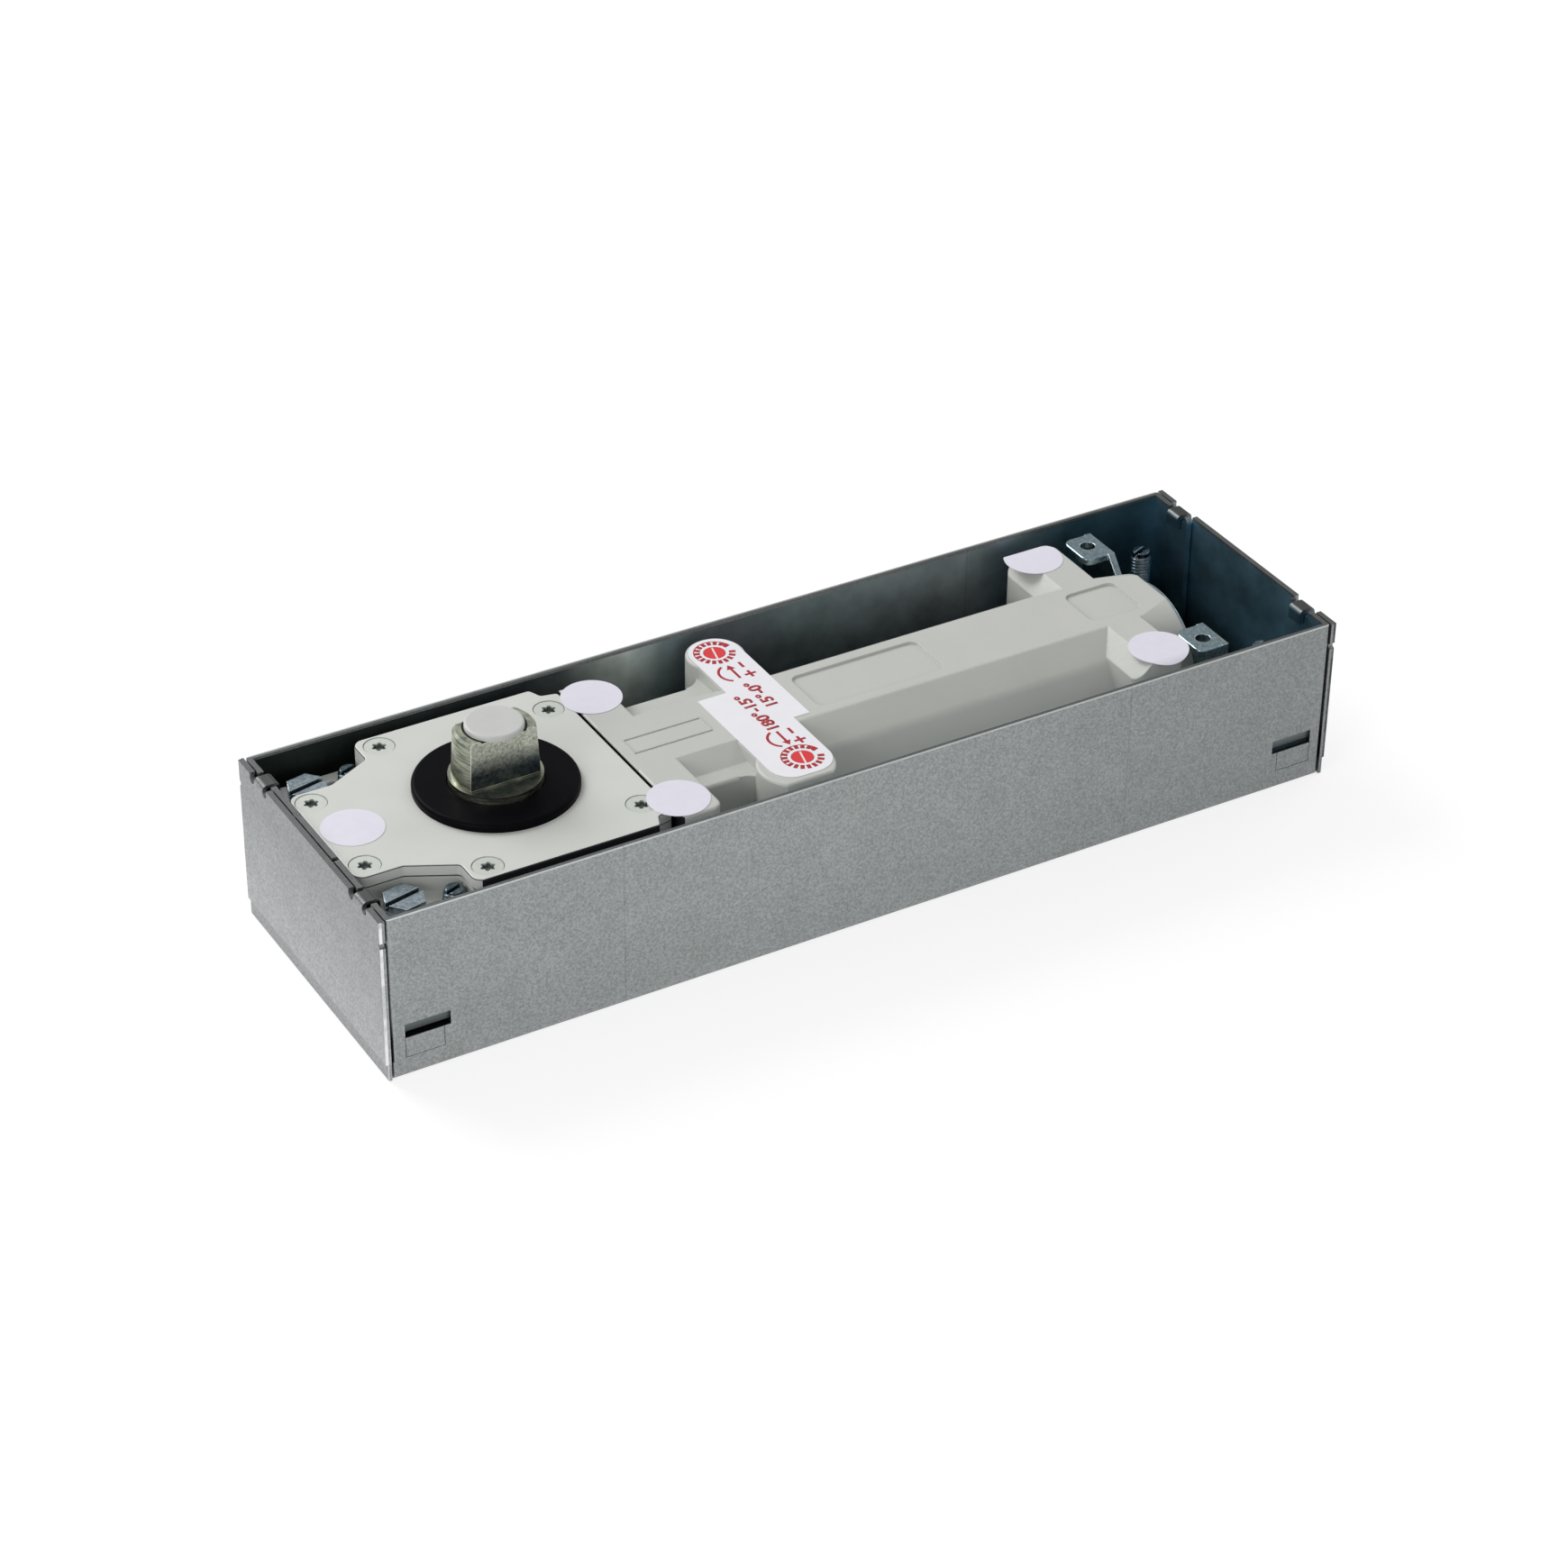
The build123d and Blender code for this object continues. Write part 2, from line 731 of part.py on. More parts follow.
def gusset(place, reach):
    """The concave blend between the neck's side and an arm, on the spindle side."""
    x, y = place
    side = math.copysign(1, y)
    edge = x - reach[0]
    y_low, y_high = sorted((0, side*(neck_half + gusset_radius)))
    web = block(edge - gusset_radius, edge + gusset_radius, y_low, y_high, housing_bottom, neck_edge_height)
    return web - rod(gusset_radius, housing_bottom - overrun, neck_edge_height + overrun,
                     edge - gusset_radius, side*(neck_half + gusset_radius))


def neck():
    """The wider start of the barrel, between the shoulder and the arms."""
    half = [
        (neck_half, housing_bottom),
        (neck_half, neck_edge_height),
        (neck_facet_half, neck_facet_height),
        (barrel_flat_half, cover_top),
    ]
    loop = half + [(-y, z) for y, z in reversed(half)]
    section = make_face(Polyline(loop, close=True))
    for side in (-1, 1):
        corner = section.vertices().sort_by_distance((side*neck_half, neck_edge_height, 0))[0]
        section = fillet(corner, neck_edge)
    end = valve_back[0]
    return extrude(Plane.YZ.offset(shoulder_start) * section, end - shoulder_start)


def cross_block():
    body = rounded_block(cross_block_start, cross_block_end, cross_half_width,
                         housing_bottom, cover_top, corner_radius)
    body = fillet(top_edges(body, cover_top), casting_edge)
    slope = Polyline([
        (cross_block_start - overrun, cover_top - cross_chamfer - overrun),
        (cross_block_start - overrun, cover_top + overrun),
        (cross_block_start + cross_chamfer + overrun, cover_top + overrun),
    ], close=True)
    reach = cross_half_width + overrun
    cutter = extrude(Plane.XZ.offset(-reach) * make_face(slope), 2*reach)
    return body - cutter


def round_end():
    length = housing_end - cross_block_end
    middle = (housing_end + cross_block_end)/2
    cone = Pos(middle, 0, mechanism_height) * Rot(0, 90, 0) * Cone(end_cone_start, end_cone_tip, length)
    reach = end_cone_start + overrun
    return cone & block(cross_block_end, housing_end, -reach, reach, housing_bottom, cover_top)


def recess_plate(x_low, x_high, half_width):
    plate = block(x_low, x_high, -half_width, half_width, cover_top - plate_depth, cover_top + overrun)
    return fillet(plate.edges().filter_by(Axis.Z), plate_corner)


def name_frame():
    x_low = shoulder_start + name_frame_start
    x_high = x_low + name_frame_length
    y_low = -name_frame_front
    y_high = name_frame_back
    low = cover_top
    high = cover_top + name_frame_height
    frame = block(x_low, x_high, y_low, y_high, low, high)
    inner = block(x_low + name_frame_width, x_high - name_frame_width, y_low + name_frame_width,
                  y_high - name_frame_width, low - overrun, high + overrun)
    return frame - inner


def make_housing():
    body = slab(block_outline(), housing_bottom, gasket_bottom)
    shoulder_back = block_half_width - shoulder_back_inset
    shoulder = block(shoulder_start, shoulder_end, -block_half_width, shoulder_back, housing_bottom, cover_top)
    shoulder = fillet(shoulder.edges().filter_by(Axis.Z).sort_by(Axis.X)[-2:], corner_radius)
    shoulder = fillet(top_edges(shoulder, cover_top), casting_edge)
    barrel_start = valve_front[0] - front_arm_reach[0]
    barrel = extrude(Plane.YZ.offset(barrel_start) * barrel_section(), cross_block_end - barrel_start)
    body = body + shoulder + barrel + neck() + cross_block() + round_end()
    body += valve_arm(valve_front, front_boss_radius, front_boss_shift, front_arm_reach, front_boss_flat)
    body += valve_arm(valve_back, back_boss_radius, back_boss_shift, back_arm_reach, back_boss_flat)
    body = body + gusset(valve_front, front_arm_reach) + gusset(valve_back, back_arm_reach)
    body += block(notch_x, shoulder_end - corner_radius, -block_half_width, block_half_width,
                  housing_bottom, ledge_height)
    foot = rounded_block(housing_start, foot_x_end, block_half_width, foot_bottom, foot_top, foot_corner)
    body += foot
    body += name_frame()
    plate_low, plate_high = [shoulder_end + barrel_length*share for share in name_plate_shares]
    body -= recess_plate(plate_low, plate_high, name_plate_half)
    end_low, end_high = [cross_block_start + reach for reach in end_plate_reach]
    body -= recess_plate(end_low, end_high, end_plate_half)
    body -= rod(chamber_radius, chamber_bottom, gasket_bottom + overrun, spindle_x)
    body -= rod(bearing_outer + seat_fit, bearing_bottom, chamber_bottom + overrun, spindle_x)
    body -= rod_x(bore_radius, spindle_x, housing_end + overrun, 0, mechanism_height)
    for x, y in cover_screw_places():
        body -= rod(screw_shank_radius + running_fit, cover_top - screw_length - overrun,
                    gasket_bottom + overrun, x, y)
    for side in (-1, 1):
        low = foot_bottom - overrun
        high = foot_top + overrun
        screw_y = side*level_near_y
        body -= rod(clamp_thread_radius + bolt_hole_gap, low, high, clamp_x, side*clamp_y)
        body -= rod(level_radius + level_gap, low, high, level_near_x, screw_y)
        slot = block(slot_x_low, slot_x_high, screw_y - slot_width/2, screw_y + slot_width/2, low, high)
        body -= fillet(slot.edges().filter_by(Axis.Z), slot_width/2 - seat_fit)
        for y, height in bracket_screw_places:
            body -= rod_x(bracket_screw_radius + running_fit, housing_end - bracket_screw_depth - overrun,
                          housing_end + overrun, side*y, height)
    for x, y in (valve_front, valve_back):
        body -= rod(valve_bore_radius, valve_bore_bottom, cover_top + overrun, x, y)
        body -= rod(valve_seat_radius, valve_seat_bottom, valve_bore_bottom + overrun, x, y)
        y_low, y_high = sorted((y, math.copysign(port_end, y)))
        body -= rod_y(port_radius, y_low, y_high, x, mechanism_height)
    return body


# Piston with the roller fork, and the pieces that it carries.
web_gap = 1.0
piston_front = roller_x + roller_radius + web_gap
piston_length = 36.0
piston_back = piston_front + piston_length
fork_half_width = 7.0
fork_inner_half = 6.8
fork_outer_half = 11.0
roller_half_height = 6.5
spigot_radius = 9.6
spigot_length = 8.0
ring_groove_place = 10.0
ring_width = 3.0
ring_depth = 1.4
check_bore_radius = 1.6
check_seat_radius = 3.0
check_seat_depth = 14.0
check_ball_radius = 2.4
retainer_length = 4.0
retainer_bore = 1.2


def make_piston():
    radius = bore_radius - running_fit
    piston = rod_x(radius, piston_front, piston_back, 0, mechanism_height)
    piston += rod_x(spigot_radius, piston_back, piston_back + spigot_length, 0, mechanism_height)
    for side in (-1, 1):
        z_low, z_high = sorted((mechanism_height + side*fork_inner_half, mechanism_height + side*fork_outer_half))
        piston += block(roller_x, piston_front, -fork_half_width, fork_half_width, z_low, z_high)
        piston += rod(fork_half_width, z_low, z_high, roller_x)
    piston -= rod(pin_radius + seat_fit, mechanism_height - fork_outer_half - overrun,
                  mechanism_height + fork_outer_half + overrun, roller_x)
    groove = piston_front + ring_groove_place
    piston -= tube_x(radius + overrun, radius - ring_depth, groove, groove + ring_width,
                     0, mechanism_height)
    tail = piston_back + spigot_length
    piston -= rod_x(check_bore_radius, piston_front - overrun, tail + overrun, 0, mechanism_height)
    piston -= rod_x(check_seat_radius, tail - check_seat_depth, tail + overrun, 0, mechanism_height)
    return piston


def make_piston_ring():
    groove = piston_front + ring_groove_place
    outer = bore_radius - seat_fit
    inner = bore_radius - running_fit - ring_depth + seat_fit
    return tube_x(outer, inner, groove + seat_fit, groove + ring_width - seat_fit, 0, mechanism_height)


def make_roller_pin():
    return rod(pin_radius, mechanism_height - fork_outer_half, mechanism_height + fork_outer_half, roller_x)


def make_cam_roller():
    low = mechanism_height - roller_half_height
    high = mechanism_height + roller_half_height
    return tube(roller_radius, pin_radius + running_fit, low, high, roller_x)


def make_check_ball():
    tail = piston_back + spigot_length
    seat = tail - check_seat_depth
    lift = math.sqrt(check_ball_radius**2 - check_bore_radius**2)
    return Pos(seat + lift + seat_fit, 0, mechanism_height) * Sphere(check_ball_radius)


def make_check_retainer():
    tail = piston_back + spigot_length
    return tube_x(check_seat_radius - seat_fit, retainer_bore, tail - retainer_length, tail, 0, mechanism_height)


# Closing spring, the seat behind it, and the plug that closes the barrel.
wire_radius = 2.4
spring_mean_radius = 12.8
spring_pitch = 8.5
seat_thickness = 4.0
spring_seat_start = plug_start - seat_thickness
plug_end = housing_end - plug_inset
plug_groove_place = 2.5
plug_groove_width = 2.6
plug_groove_depth = 1.6
plug_socket = 12.0
plug_socket_depth = 6.0


def make_spring():
    start = piston_back + wire_radius + seat_fit
    length = spring_seat_start - wire_radius - seat_fit - start
    turns = int(length/spring_pitch)
    path = Helix(pitch=length/turns, height=length, radius=spring_mean_radius, direction=(1, 0, 0))
    section = Plane(origin=path @ 0, z_dir=path % 0) * Circle(wire_radius)
    coil = sweep(section, path=path, is_frenet=True)
    return Pos(start, 0, mechanism_height) * coil


def make_spring_seat():
    seat = rod_x(bore_radius - running_fit, spring_seat_start, plug_start, 0, mechanism_height)
    return seat + rod_x(spigot_radius, spring_seat_start - spigot_length, spring_seat_start, 0, mechanism_height)


def make_end_plug():
    radius = bore_radius - seat_fit
    plug = rod_x(radius, plug_start, plug_end, 0, mechanism_height)
    groove = plug_start + plug_groove_place
    plug -= tube_x(radius + overrun, radius - plug_groove_depth, groove, groove + plug_groove_width,
                   0, mechanism_height)
    hexagon = RegularPolygon(plug_socket/2, 6, major_radius=False)
    socket = extrude(Plane.YZ.offset(plug_end - plug_socket_depth) * hexagon, plug_socket_depth + overrun)
    return plug - Pos(0, 0, mechanism_height) * socket


def make_plug_seal():
    groove = plug_start + plug_groove_place
    outer = bore_radius - seat_fit
    inner = bore_radius - plug_groove_depth
    return tube_x(outer, inner, groove + seat_fit, groove + plug_groove_width - seat_fit, 0, mechanism_height)


# Regulating valves, seen through the holes in the label.
label_thickness = 0.15
valve_top = cover_top + label_thickness
valve_radius = valve_bore_radius - running_fit
valve_slot_width = 0.5
valve_slot_depth = 0.3
valve_groove_height = 33.0
valve_groove_width = 1.8
valve_groove_depth = 0.9
valve_tip_radius = 0.6
valve_tip_bottom = 23.5
valve_slot_angle = 76.5


def make_valve(place):
    x, y = place
    body = rod(valve_radius, valve_bore_bottom + seat_fit, valve_top, x, y)
    point_top = valve_seat_radius - running_fit
    length = valve_bore_bottom + seat_fit - valve_tip_bottom
    body += Pos(x, y, valve_tip_bottom + length/2) * Cone(valve_tip_radius, point_top, length)
    body -= tube(valve_radius + overrun, valve_radius - valve_groove_depth, valve_groove_height,
                 valve_groove_height + valve_groove_width, x, y)
    reach = valve_radius + overrun
    slot = Rot(0, 0, valve_slot_angle) * Box(2*reach, valve_slot_width, 2*valve_slot_depth)
    return body - Pos(x, y, valve_top) * slot


def make_valve_seal(place):
    x, y = place
    low = valve_groove_height + seat_fit
    high = valve_groove_height + valve_groove_width - seat_fit
    return tube(valve_radius, valve_radius - valve_groove_depth + seat_fit, low, high, x, y)


# Label over the two bosses, and the round stickers.
label_middle_half = 9.4
label_low_reach = 10.6
label_high_reach = 7.3
label_front_high = 7.45
label_front_end = 7.55
label_front_corner = 6.6
label_back_low = 7.0
label_back_corner = 6.9
label_back_end = 7.0
label_hole_gap = 0.15
sticker_radius = 8.2
sticker_near_x = -39.9
sticker_near_y = 0.4
sticker_shoulder_x = [37.4, 40.5]
sticker_shoulder_inset = [8.2, 11.0]
sticker_cross_x = [10.4, 6.6]
sticker_cross_inset = [5.8, 4.5]


def label_arm(x_low, x_high, y_end, corner):
    y_low, y_high = sorted((0, y_end))
    arm = block(x_low, x_high, y_low, y_high, cover_top, cover_top + label_thickness)
    ends = [e for e in arm.edges().filter_by(Axis.Z) if abs(e.center().Y) > sheet]
    return fillet(ends, corner)


def make_label():
    front_x, front_y = valve_front
    back_x, back_y = valve_back
    x_low = front_x - label_low_reach
    x_high = back_x + label_high_reach
    low = cover_top
    high = cover_top + label_thickness
    label = block(x_low, x_high, -label_middle_half, label_middle_half, low, high)
    label += label_arm(x_low, front_x + label_front_high, front_y - label_front_end, label_front_corner)
    label += label_arm(back_x - label_back_low, x_high, back_y + label_back_end, label_back_corner)
    for x, y in (valve_front, valve_back):
        label -= rod(valve_radius + label_hole_gap, low - overrun, high + overrun, x, y)
    return label


def make_stickers():
    places = [(spindle_x + sticker_near_x, sticker_near_y)]
    sides = (-1, 1)
    for side, x, inset in zip(sides, sticker_shoulder_x, sticker_shoulder_inset):
        places.append((spindle_x + x, side*(block_half_width - inset)))
    for side, x, inset in zip(sides, sticker_cross_x, sticker_cross_inset):
        places.append((cross_block_start + x, side*(cross_half_width - inset)))
    return as_part([rod(sticker_radius, cover_top, cover_top + label_thickness, x, y) for x, y in places])


# Clamp bolts through the foot flange.
bolt_head_width = 10.0
bolt_head_height = 4.0
bolt_bottom = 5.0
bolt_slot_width = 1.6
bolt_slot_depth = 1.6
bolt_turn = 12.0


def make_clamp_bolts():
    bolts = []
    head_bottom = foot_top
    head_top = head_bottom + bolt_head_height
    for side in (-1, 1):
        y = side*clamp_y
        hexagon = RegularPolygon(bolt_head_width/2, 6, major_radius=False)
        head = Pos(clamp_x, y, 0) * Rot(0, 0, bolt_turn) * slab(hexagon, head_bottom, head_top)
        slot = Box(2*bolt_head_width, bolt_slot_width, 2*bolt_slot_depth)
        head -= Pos(clamp_x, y, head_top) * Rot(0, 0, bolt_turn) * slot
        bolts.append(head + rod(clamp_thread_radius, bolt_bottom, head_bottom, clamp_x, y))
    return as_part(bolts)


# Levelling screws, which stand on the box floor.
level_near_top = 43.2
level_far_inset = 15.0
level_far_side_inset = 12.5
level_far_x = end_face - level_far_inset
level_far_y = wall_face - level_far_side_inset
level_far_top = 39.0
level_slot_width = 1.2
level_slot_depth = 1.6
level_point_length = 2.0
level_point_radius = 2.0
level_slot_angle = 20.0


def make_level_screw(x, y, top):
    screw = rod(level_radius, sheet + level_point_length, top, x, y)
    point = Cone(level_point_radius, level_radius, level_point_length)
    screw += Pos(x, y, sheet + level_point_length/2) * point
    slot = Rot(0, 0, level_slot_angle) * Box(2*level_radius + 2*overrun, level_slot_width, 2*level_slot_depth)
    return screw - Pos(x, y, top) * slot


# Strap bracket on the housing's end face, with the ears that carry the floor cover plate.
bracket_gap = 0.1
bracket_start = housing_end + bracket_gap
bracket_thickness = 2.0
bracket_back = bracket_start + bracket_thickness
ear_top = 46.3
ear_thickness = 2.0
ear_length = 9.4
ear_width = 12.2
ear_inset = 7.9
ear_x_low = bracket_back - ear_length
ear_y_outer = wall_face - ear_inset
ear_y_inner = ear_y_outer - ear_width
ear_corner = 2.6
ear_edge = 0.5
ear_hole_inset = 4.5
ear_hole_side_inset = 5.6
ear_hole_x = bracket_back - ear_hole_inset
ear_hole_y = ear_y_outer - ear_hole_side_inset
ear_thread_radius = 2.1
strap_arc_radius = 21.8
strap_notch_y = 15.5
bracket_foot_bottom = 8.0
bracket_foot_thickness = 2.0
bracket_foot_reach = 21.2
bracket_foot_end = bracket_back + bracket_foot_reach
bracket_screw_radius = 1.5
bracket_screw_depth = 8.0
bracket_screw_places = [(16.5, 37.0), (17.8, 13.8)]
bracket_head_radius = 2.8
bracket_head_height = 2.0
bracket_plug_hole = 9.0
nut_radius = 5.0
nut_height = 5.0


def strap_outline():
    """The upright plate's outline in the YZ plane."""
    arc_side = math.sqrt(strap_arc_radius**2 - strap_notch_y**2)
    notch_height = mechanism_height + arc_side
    crown = mechanism_height + strap_arc_radius
    edges = [
        Line((-ear_y_outer, bracket_foot_bottom), (ear_y_outer, bracket_foot_bottom)),
        Line((ear_y_outer, bracket_foot_bottom), (ear_y_outer, ear_top)),
        Line((ear_y_outer, ear_top), (ear_y_inner, ear_top)),
        Line((ear_y_inner, ear_top), (strap_notch_y, notch_height)),
        ThreePointArc((strap_notch_y, notch_height), (0, crown), (-strap_notch_y, notch_height)),
        Line((-strap_notch_y, notch_height), (-ear_y_inner, ear_top)),
        Line((-ear_y_inner, ear_top), (-ear_y_outer, ear_top)),
        Line((-ear_y_outer, ear_top), (-ear_y_outer, bracket_foot_bottom)),
    ]
    return make_face(edges)


def make_bracket():
    bracket = extrude(Plane.YZ.offset(bracket_start) * strap_outline(), bracket_thickness)
    bracket -= rod_x(bracket_plug_hole, bracket_start - overrun, bracket_back + overrun, 0, mechanism_height)
    for side in (-1, 1):
        y_low, y_high = sorted((side*ear_y_inner, side*ear_y_outer))
        ear = block(ear_x_low, bracket_back, y_low, y_high, ear_top - ear_thickness, ear_top)
        outer_corners = ear.edges().filter_by(Axis.Z).sort_by(Axis.X)[:2]
        ear = fillet(outer_corners, ear_corner)
        ear = fillet(top_edges(ear, ear_top), ear_edge)
        bracket += ear
        bracket -= rod(ear_thread_radius, ear_top - ear_thickness - overrun, ear_top + overrun,
                       ear_hole_x, side*ear_hole_y)
        for y, height in bracket_screw_places:
            bracket -= rod_x(bracket_screw_radius + running_fit, bracket_start - overrun, bracket_back + overrun,
                             side*y, height)
    foot_high = bracket_foot_bottom + bracket_foot_thickness
    bracket += block(bracket_start, bracket_foot_end, -ear_y_outer, ear_y_outer, bracket_foot_bottom, foot_high)
    for side in (-1, 1):
        bracket += rod(nut_radius, foot_high, foot_high + nut_height, level_far_x, side*level_far_y)
        bracket -= rod(level_radius + level_gap, bracket_foot_bottom - overrun, foot_high + nut_height + overrun,
                       level_far_x, side*level_far_y)
    return bracket


def make_bracket_screws():
    screws = []
    for side in (-1, 1):
        for y, height in bracket_screw_places:
            screw = rod_x(bracket_head_radius, bracket_back, bracket_back + bracket_head_height, side*y, height)
            screw += rod_x(bracket_screw_radius, housing_end - bracket_screw_depth, bracket_back, side*y, height)
            screws.append(screw)
    return as_part(screws)


# The whole closer, one file per piece or group of like fasteners
keep(make_box_shell(), "box_shell")
keep(make_end_panel(-1), "end_panel_spindle")
keep(make_end_panel(1), "end_panel_far")
keep(make_clamp_bushes(), "clamp_bushes")
keep(make_housing(), "closer_housing")
keep(make_cover(), "cover_plate")
keep(make_gasket(), "cover_gasket")
keep(make_cover_screws(), "cover_screws")
keep(make_collar(), "spindle_collar")
keep(make_shaft_seal(), "shaft_seal")
keep(make_bearing_shell(), "upper_bearing_shell")
keep(make_needles(), "upper_bearing_needles")
keep(make_lower_outer_ring(), "lower_bearing_outer_ring")
keep(make_lower_inner_ring(), "lower_bearing_inner_ring")
keep(make_balls(), "lower_bearing_balls")
keep(make_spindle_shaft(), "spindle_shaft")
keep(make_cam_disc(), "cam_disc")
keep(make_cam_key(), "cam_key")
keep(make_spindle_end(), "spindle_end")
keep(make_end_screw(), "spindle_end_screw")
keep(make_cap(), "spindle_cap")
keep(make_piston(), "piston")
keep(make_piston_ring(), "piston_ring")
keep(make_roller_pin(), "roller_pin")
keep(make_cam_roller(), "cam_roller")
keep(make_check_ball(), "check_ball")
keep(make_check_retainer(), "check_ball_retainer")
keep(make_spring(), "closing_spring")
keep(make_spring_seat(), "spring_seat")
keep(make_end_plug(), "end_plug")
keep(make_plug_seal(), "end_plug_seal")
for place, name in ((valve_front, "front"), (valve_back, "back")):
    keep(make_valve(place), f"regulating_valve_{name}")
    keep(make_valve_seal(place), f"regulating_valve_seal_{name}")
keep(make_label(), "valve_label")
keep(make_stickers(), "round_stickers")
keep(make_clamp_bolts(), "clamp_bolts")
keep(make_bracket(), "strap_bracket")
keep(make_bracket_screws(), "bracket_screws")
for side, name in ((-1, "front"), (1, "back")):
    keep(make_level_screw(level_near_x, side*level_near_y, level_near_top), f"levelling_screw_{name}")
    keep(make_level_screw(level_far_x, side*level_far_y, level_far_top), f"levelling_stud_{name}")
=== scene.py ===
import math
import bmesh
import bpy
from mathutils import Matrix, Vector


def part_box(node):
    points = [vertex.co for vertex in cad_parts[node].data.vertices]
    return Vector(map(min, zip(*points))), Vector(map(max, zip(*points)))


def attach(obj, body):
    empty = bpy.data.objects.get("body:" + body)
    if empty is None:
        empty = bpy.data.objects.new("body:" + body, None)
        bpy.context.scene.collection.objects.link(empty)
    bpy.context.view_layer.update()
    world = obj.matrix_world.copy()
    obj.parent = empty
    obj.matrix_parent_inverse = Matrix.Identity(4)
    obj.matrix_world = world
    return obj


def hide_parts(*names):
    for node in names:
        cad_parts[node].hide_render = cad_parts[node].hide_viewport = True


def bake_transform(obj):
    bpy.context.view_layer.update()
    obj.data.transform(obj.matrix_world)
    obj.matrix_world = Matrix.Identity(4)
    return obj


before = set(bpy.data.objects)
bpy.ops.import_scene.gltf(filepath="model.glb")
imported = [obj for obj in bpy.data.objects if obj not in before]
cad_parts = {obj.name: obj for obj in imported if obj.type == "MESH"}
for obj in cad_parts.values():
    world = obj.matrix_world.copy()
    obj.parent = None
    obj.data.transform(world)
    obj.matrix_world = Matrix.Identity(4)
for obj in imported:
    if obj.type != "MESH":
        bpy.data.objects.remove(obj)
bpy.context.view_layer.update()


# Cement box: shell and end panels cut from galvanised steel sheet, 1.5 mm thick, folded to a trough for the floor and
# held by lugs rolled over the rim. The zinc is dull and sandy and faintly creased, with a darker top to the rim.
# Light and
# shade are painted into it: painted shade inside the box, deepest low down and in the slots, with a painted glow of
# reflected light behind the spindle shoulder; painted light on the front wall's inside and on the near end panel's
# foot;
# painted shade towards the far end and on the lugs; painted highlights along the rim and the near corner's cut edge,
# and painted shade on the far corner's cut edge. The sandy grain is drawn a little coarser than it is, so that it
# shows.
mm = 0.001


def linear(code):
    parts = [int(code[i:i + 2], 16) / 255 for i in (0, 2, 4)]
    return tuple(p / 12.92 if p <= 0.04045 else ((p + 0.055) / 1.055) ** 2.4 for p in parts) + (1,)


def add(tree, kind, inputs, **settings):
    node = tree.nodes.new(kind)
    for name, value in settings.items():
        setattr(node, name, value)
    for name, value in inputs.items():
        if isinstance(value, bpy.types.NodeSocket):
            tree.links.new(value, node.inputs[name])
        else:
            node.inputs[name].default_value = value
    return node


def start_material(name, **surface):
    material = bpy.data.materials.new(name)
    material.use_nodes = True
    tree = material.node_tree
    shader = tree.nodes["Principled BSDF"]
    for socket, value in surface.items():
        shader.inputs[socket.replace("_", " ")].default_value = value
    place = add(tree, "ShaderNodeTexCoord", {}).outputs["Object"]
    return material, tree, shader, place


def dress(material, *names):
    for name in names:
        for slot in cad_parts[name].material_slots:
            slot.material = material


# Where the sheet's zones lie: panels, inner faces, slots, rim, cut edges, creases and lugs.
panel_face = 141.05 * mm
wall_inside = 40.4 * mm
slot_inside = 41.3 * mm
slot_middle, slot_reach = 12.5 * mm, 7.5 * mm
end_inside = 141.2 * mm
front_inside = -39 * mm
rim_foot = 47.3 * mm
rim_low, rim_high = 47.75 * mm, 47.95 * mm
lit_wall, cut_wall, cut_face = 41.0 * mm, 41.35 * mm, 141.75 * mm
strip_height = 5.0 * mm
crease_places, crease_half = (-75.4, 76.3), 0.16 * mm
lug_x, lug_x_reach = 139.6 * mm, 2.6 * mm
lug_y, lug_y_reach = 29.3 * mm, 2.7 * mm
lug_foot = 43.5 * mm
sheet, tree, shader, place = start_material("galvanised steel sheet, rolled", Metallic=1.0, Roughness=0.42)
along = add(tree, "ShaderNodeSeparateXYZ", {0: place})
cloud = add(tree, "ShaderNodeTexNoise", {"Vector": place, "Scale": 1 / (9 * mm), "Detail": 5.0, "Roughness": 0.6})
tint = add(tree, "ShaderNodeTexNoise", {"Vector": place, "Scale": 1 / (14 * mm), "Detail": 2.0})
grain = add(tree, "ShaderNodeTexNoise", {"Vector": place, "Scale": 1 / (0.7 * mm), "Detail": 2.0, "Roughness": 0.75})
grey = add(tree, "ShaderNodeMix", {0: cloud.outputs["Fac"], 6: linear("999E9D"), 7: linear("B4B7B7")},
           data_type="RGBA")
cast = add(tree, "ShaderNodeMix", {0: tint.outputs["Fac"], 6: linear("B4C2B8"), 7: linear("C6BDCC")},
           data_type="RGBA")
toned = add(tree, "ShaderNodeMix", {0: 0.25, 6: grey.outputs[2], 7: cast.outputs[2]}, data_type="RGBA",
            blend_type="MULTIPLY")
speck = add(tree, "ShaderNodeMapRange", {"Value": grain.outputs["Fac"], "From Min": 0.32, "From Max": 0.68,
                                         "To Min": 0.75, "To Max": 1.2})
speckled = add(tree, "ShaderNodeVectorMath", {0: toned.outputs[2], 1: speck.outputs[0]}, operation="MULTIPLY")
# The sheet is darker towards the bottom, and painted shade grows towards the far end.
lower = add(tree, "ShaderNodeMapRange", {"Value": along.outputs["Z"], "From Min": 0, "From Max": 26 * mm,
                                         "To Min": 0.94, "To Max": 1.0})
painted_far_shade = add(tree, "ShaderNodeMapRange", {"Value": along.outputs["X"], "From Min": -20 * mm, "From Max": 140 * mm,
                                        "To Min": 1.0, "To Max": 0.78})
dimmed = add(tree, "ShaderNodeMath", {0: lower.outputs[0], 1: painted_far_shade.outputs[0]}, operation="MULTIPLY")
toned_down = add(tree, "ShaderNodeVectorMath", {0: speckled.outputs[0], 1: dimmed.outputs[0]}, operation="MULTIPLY")
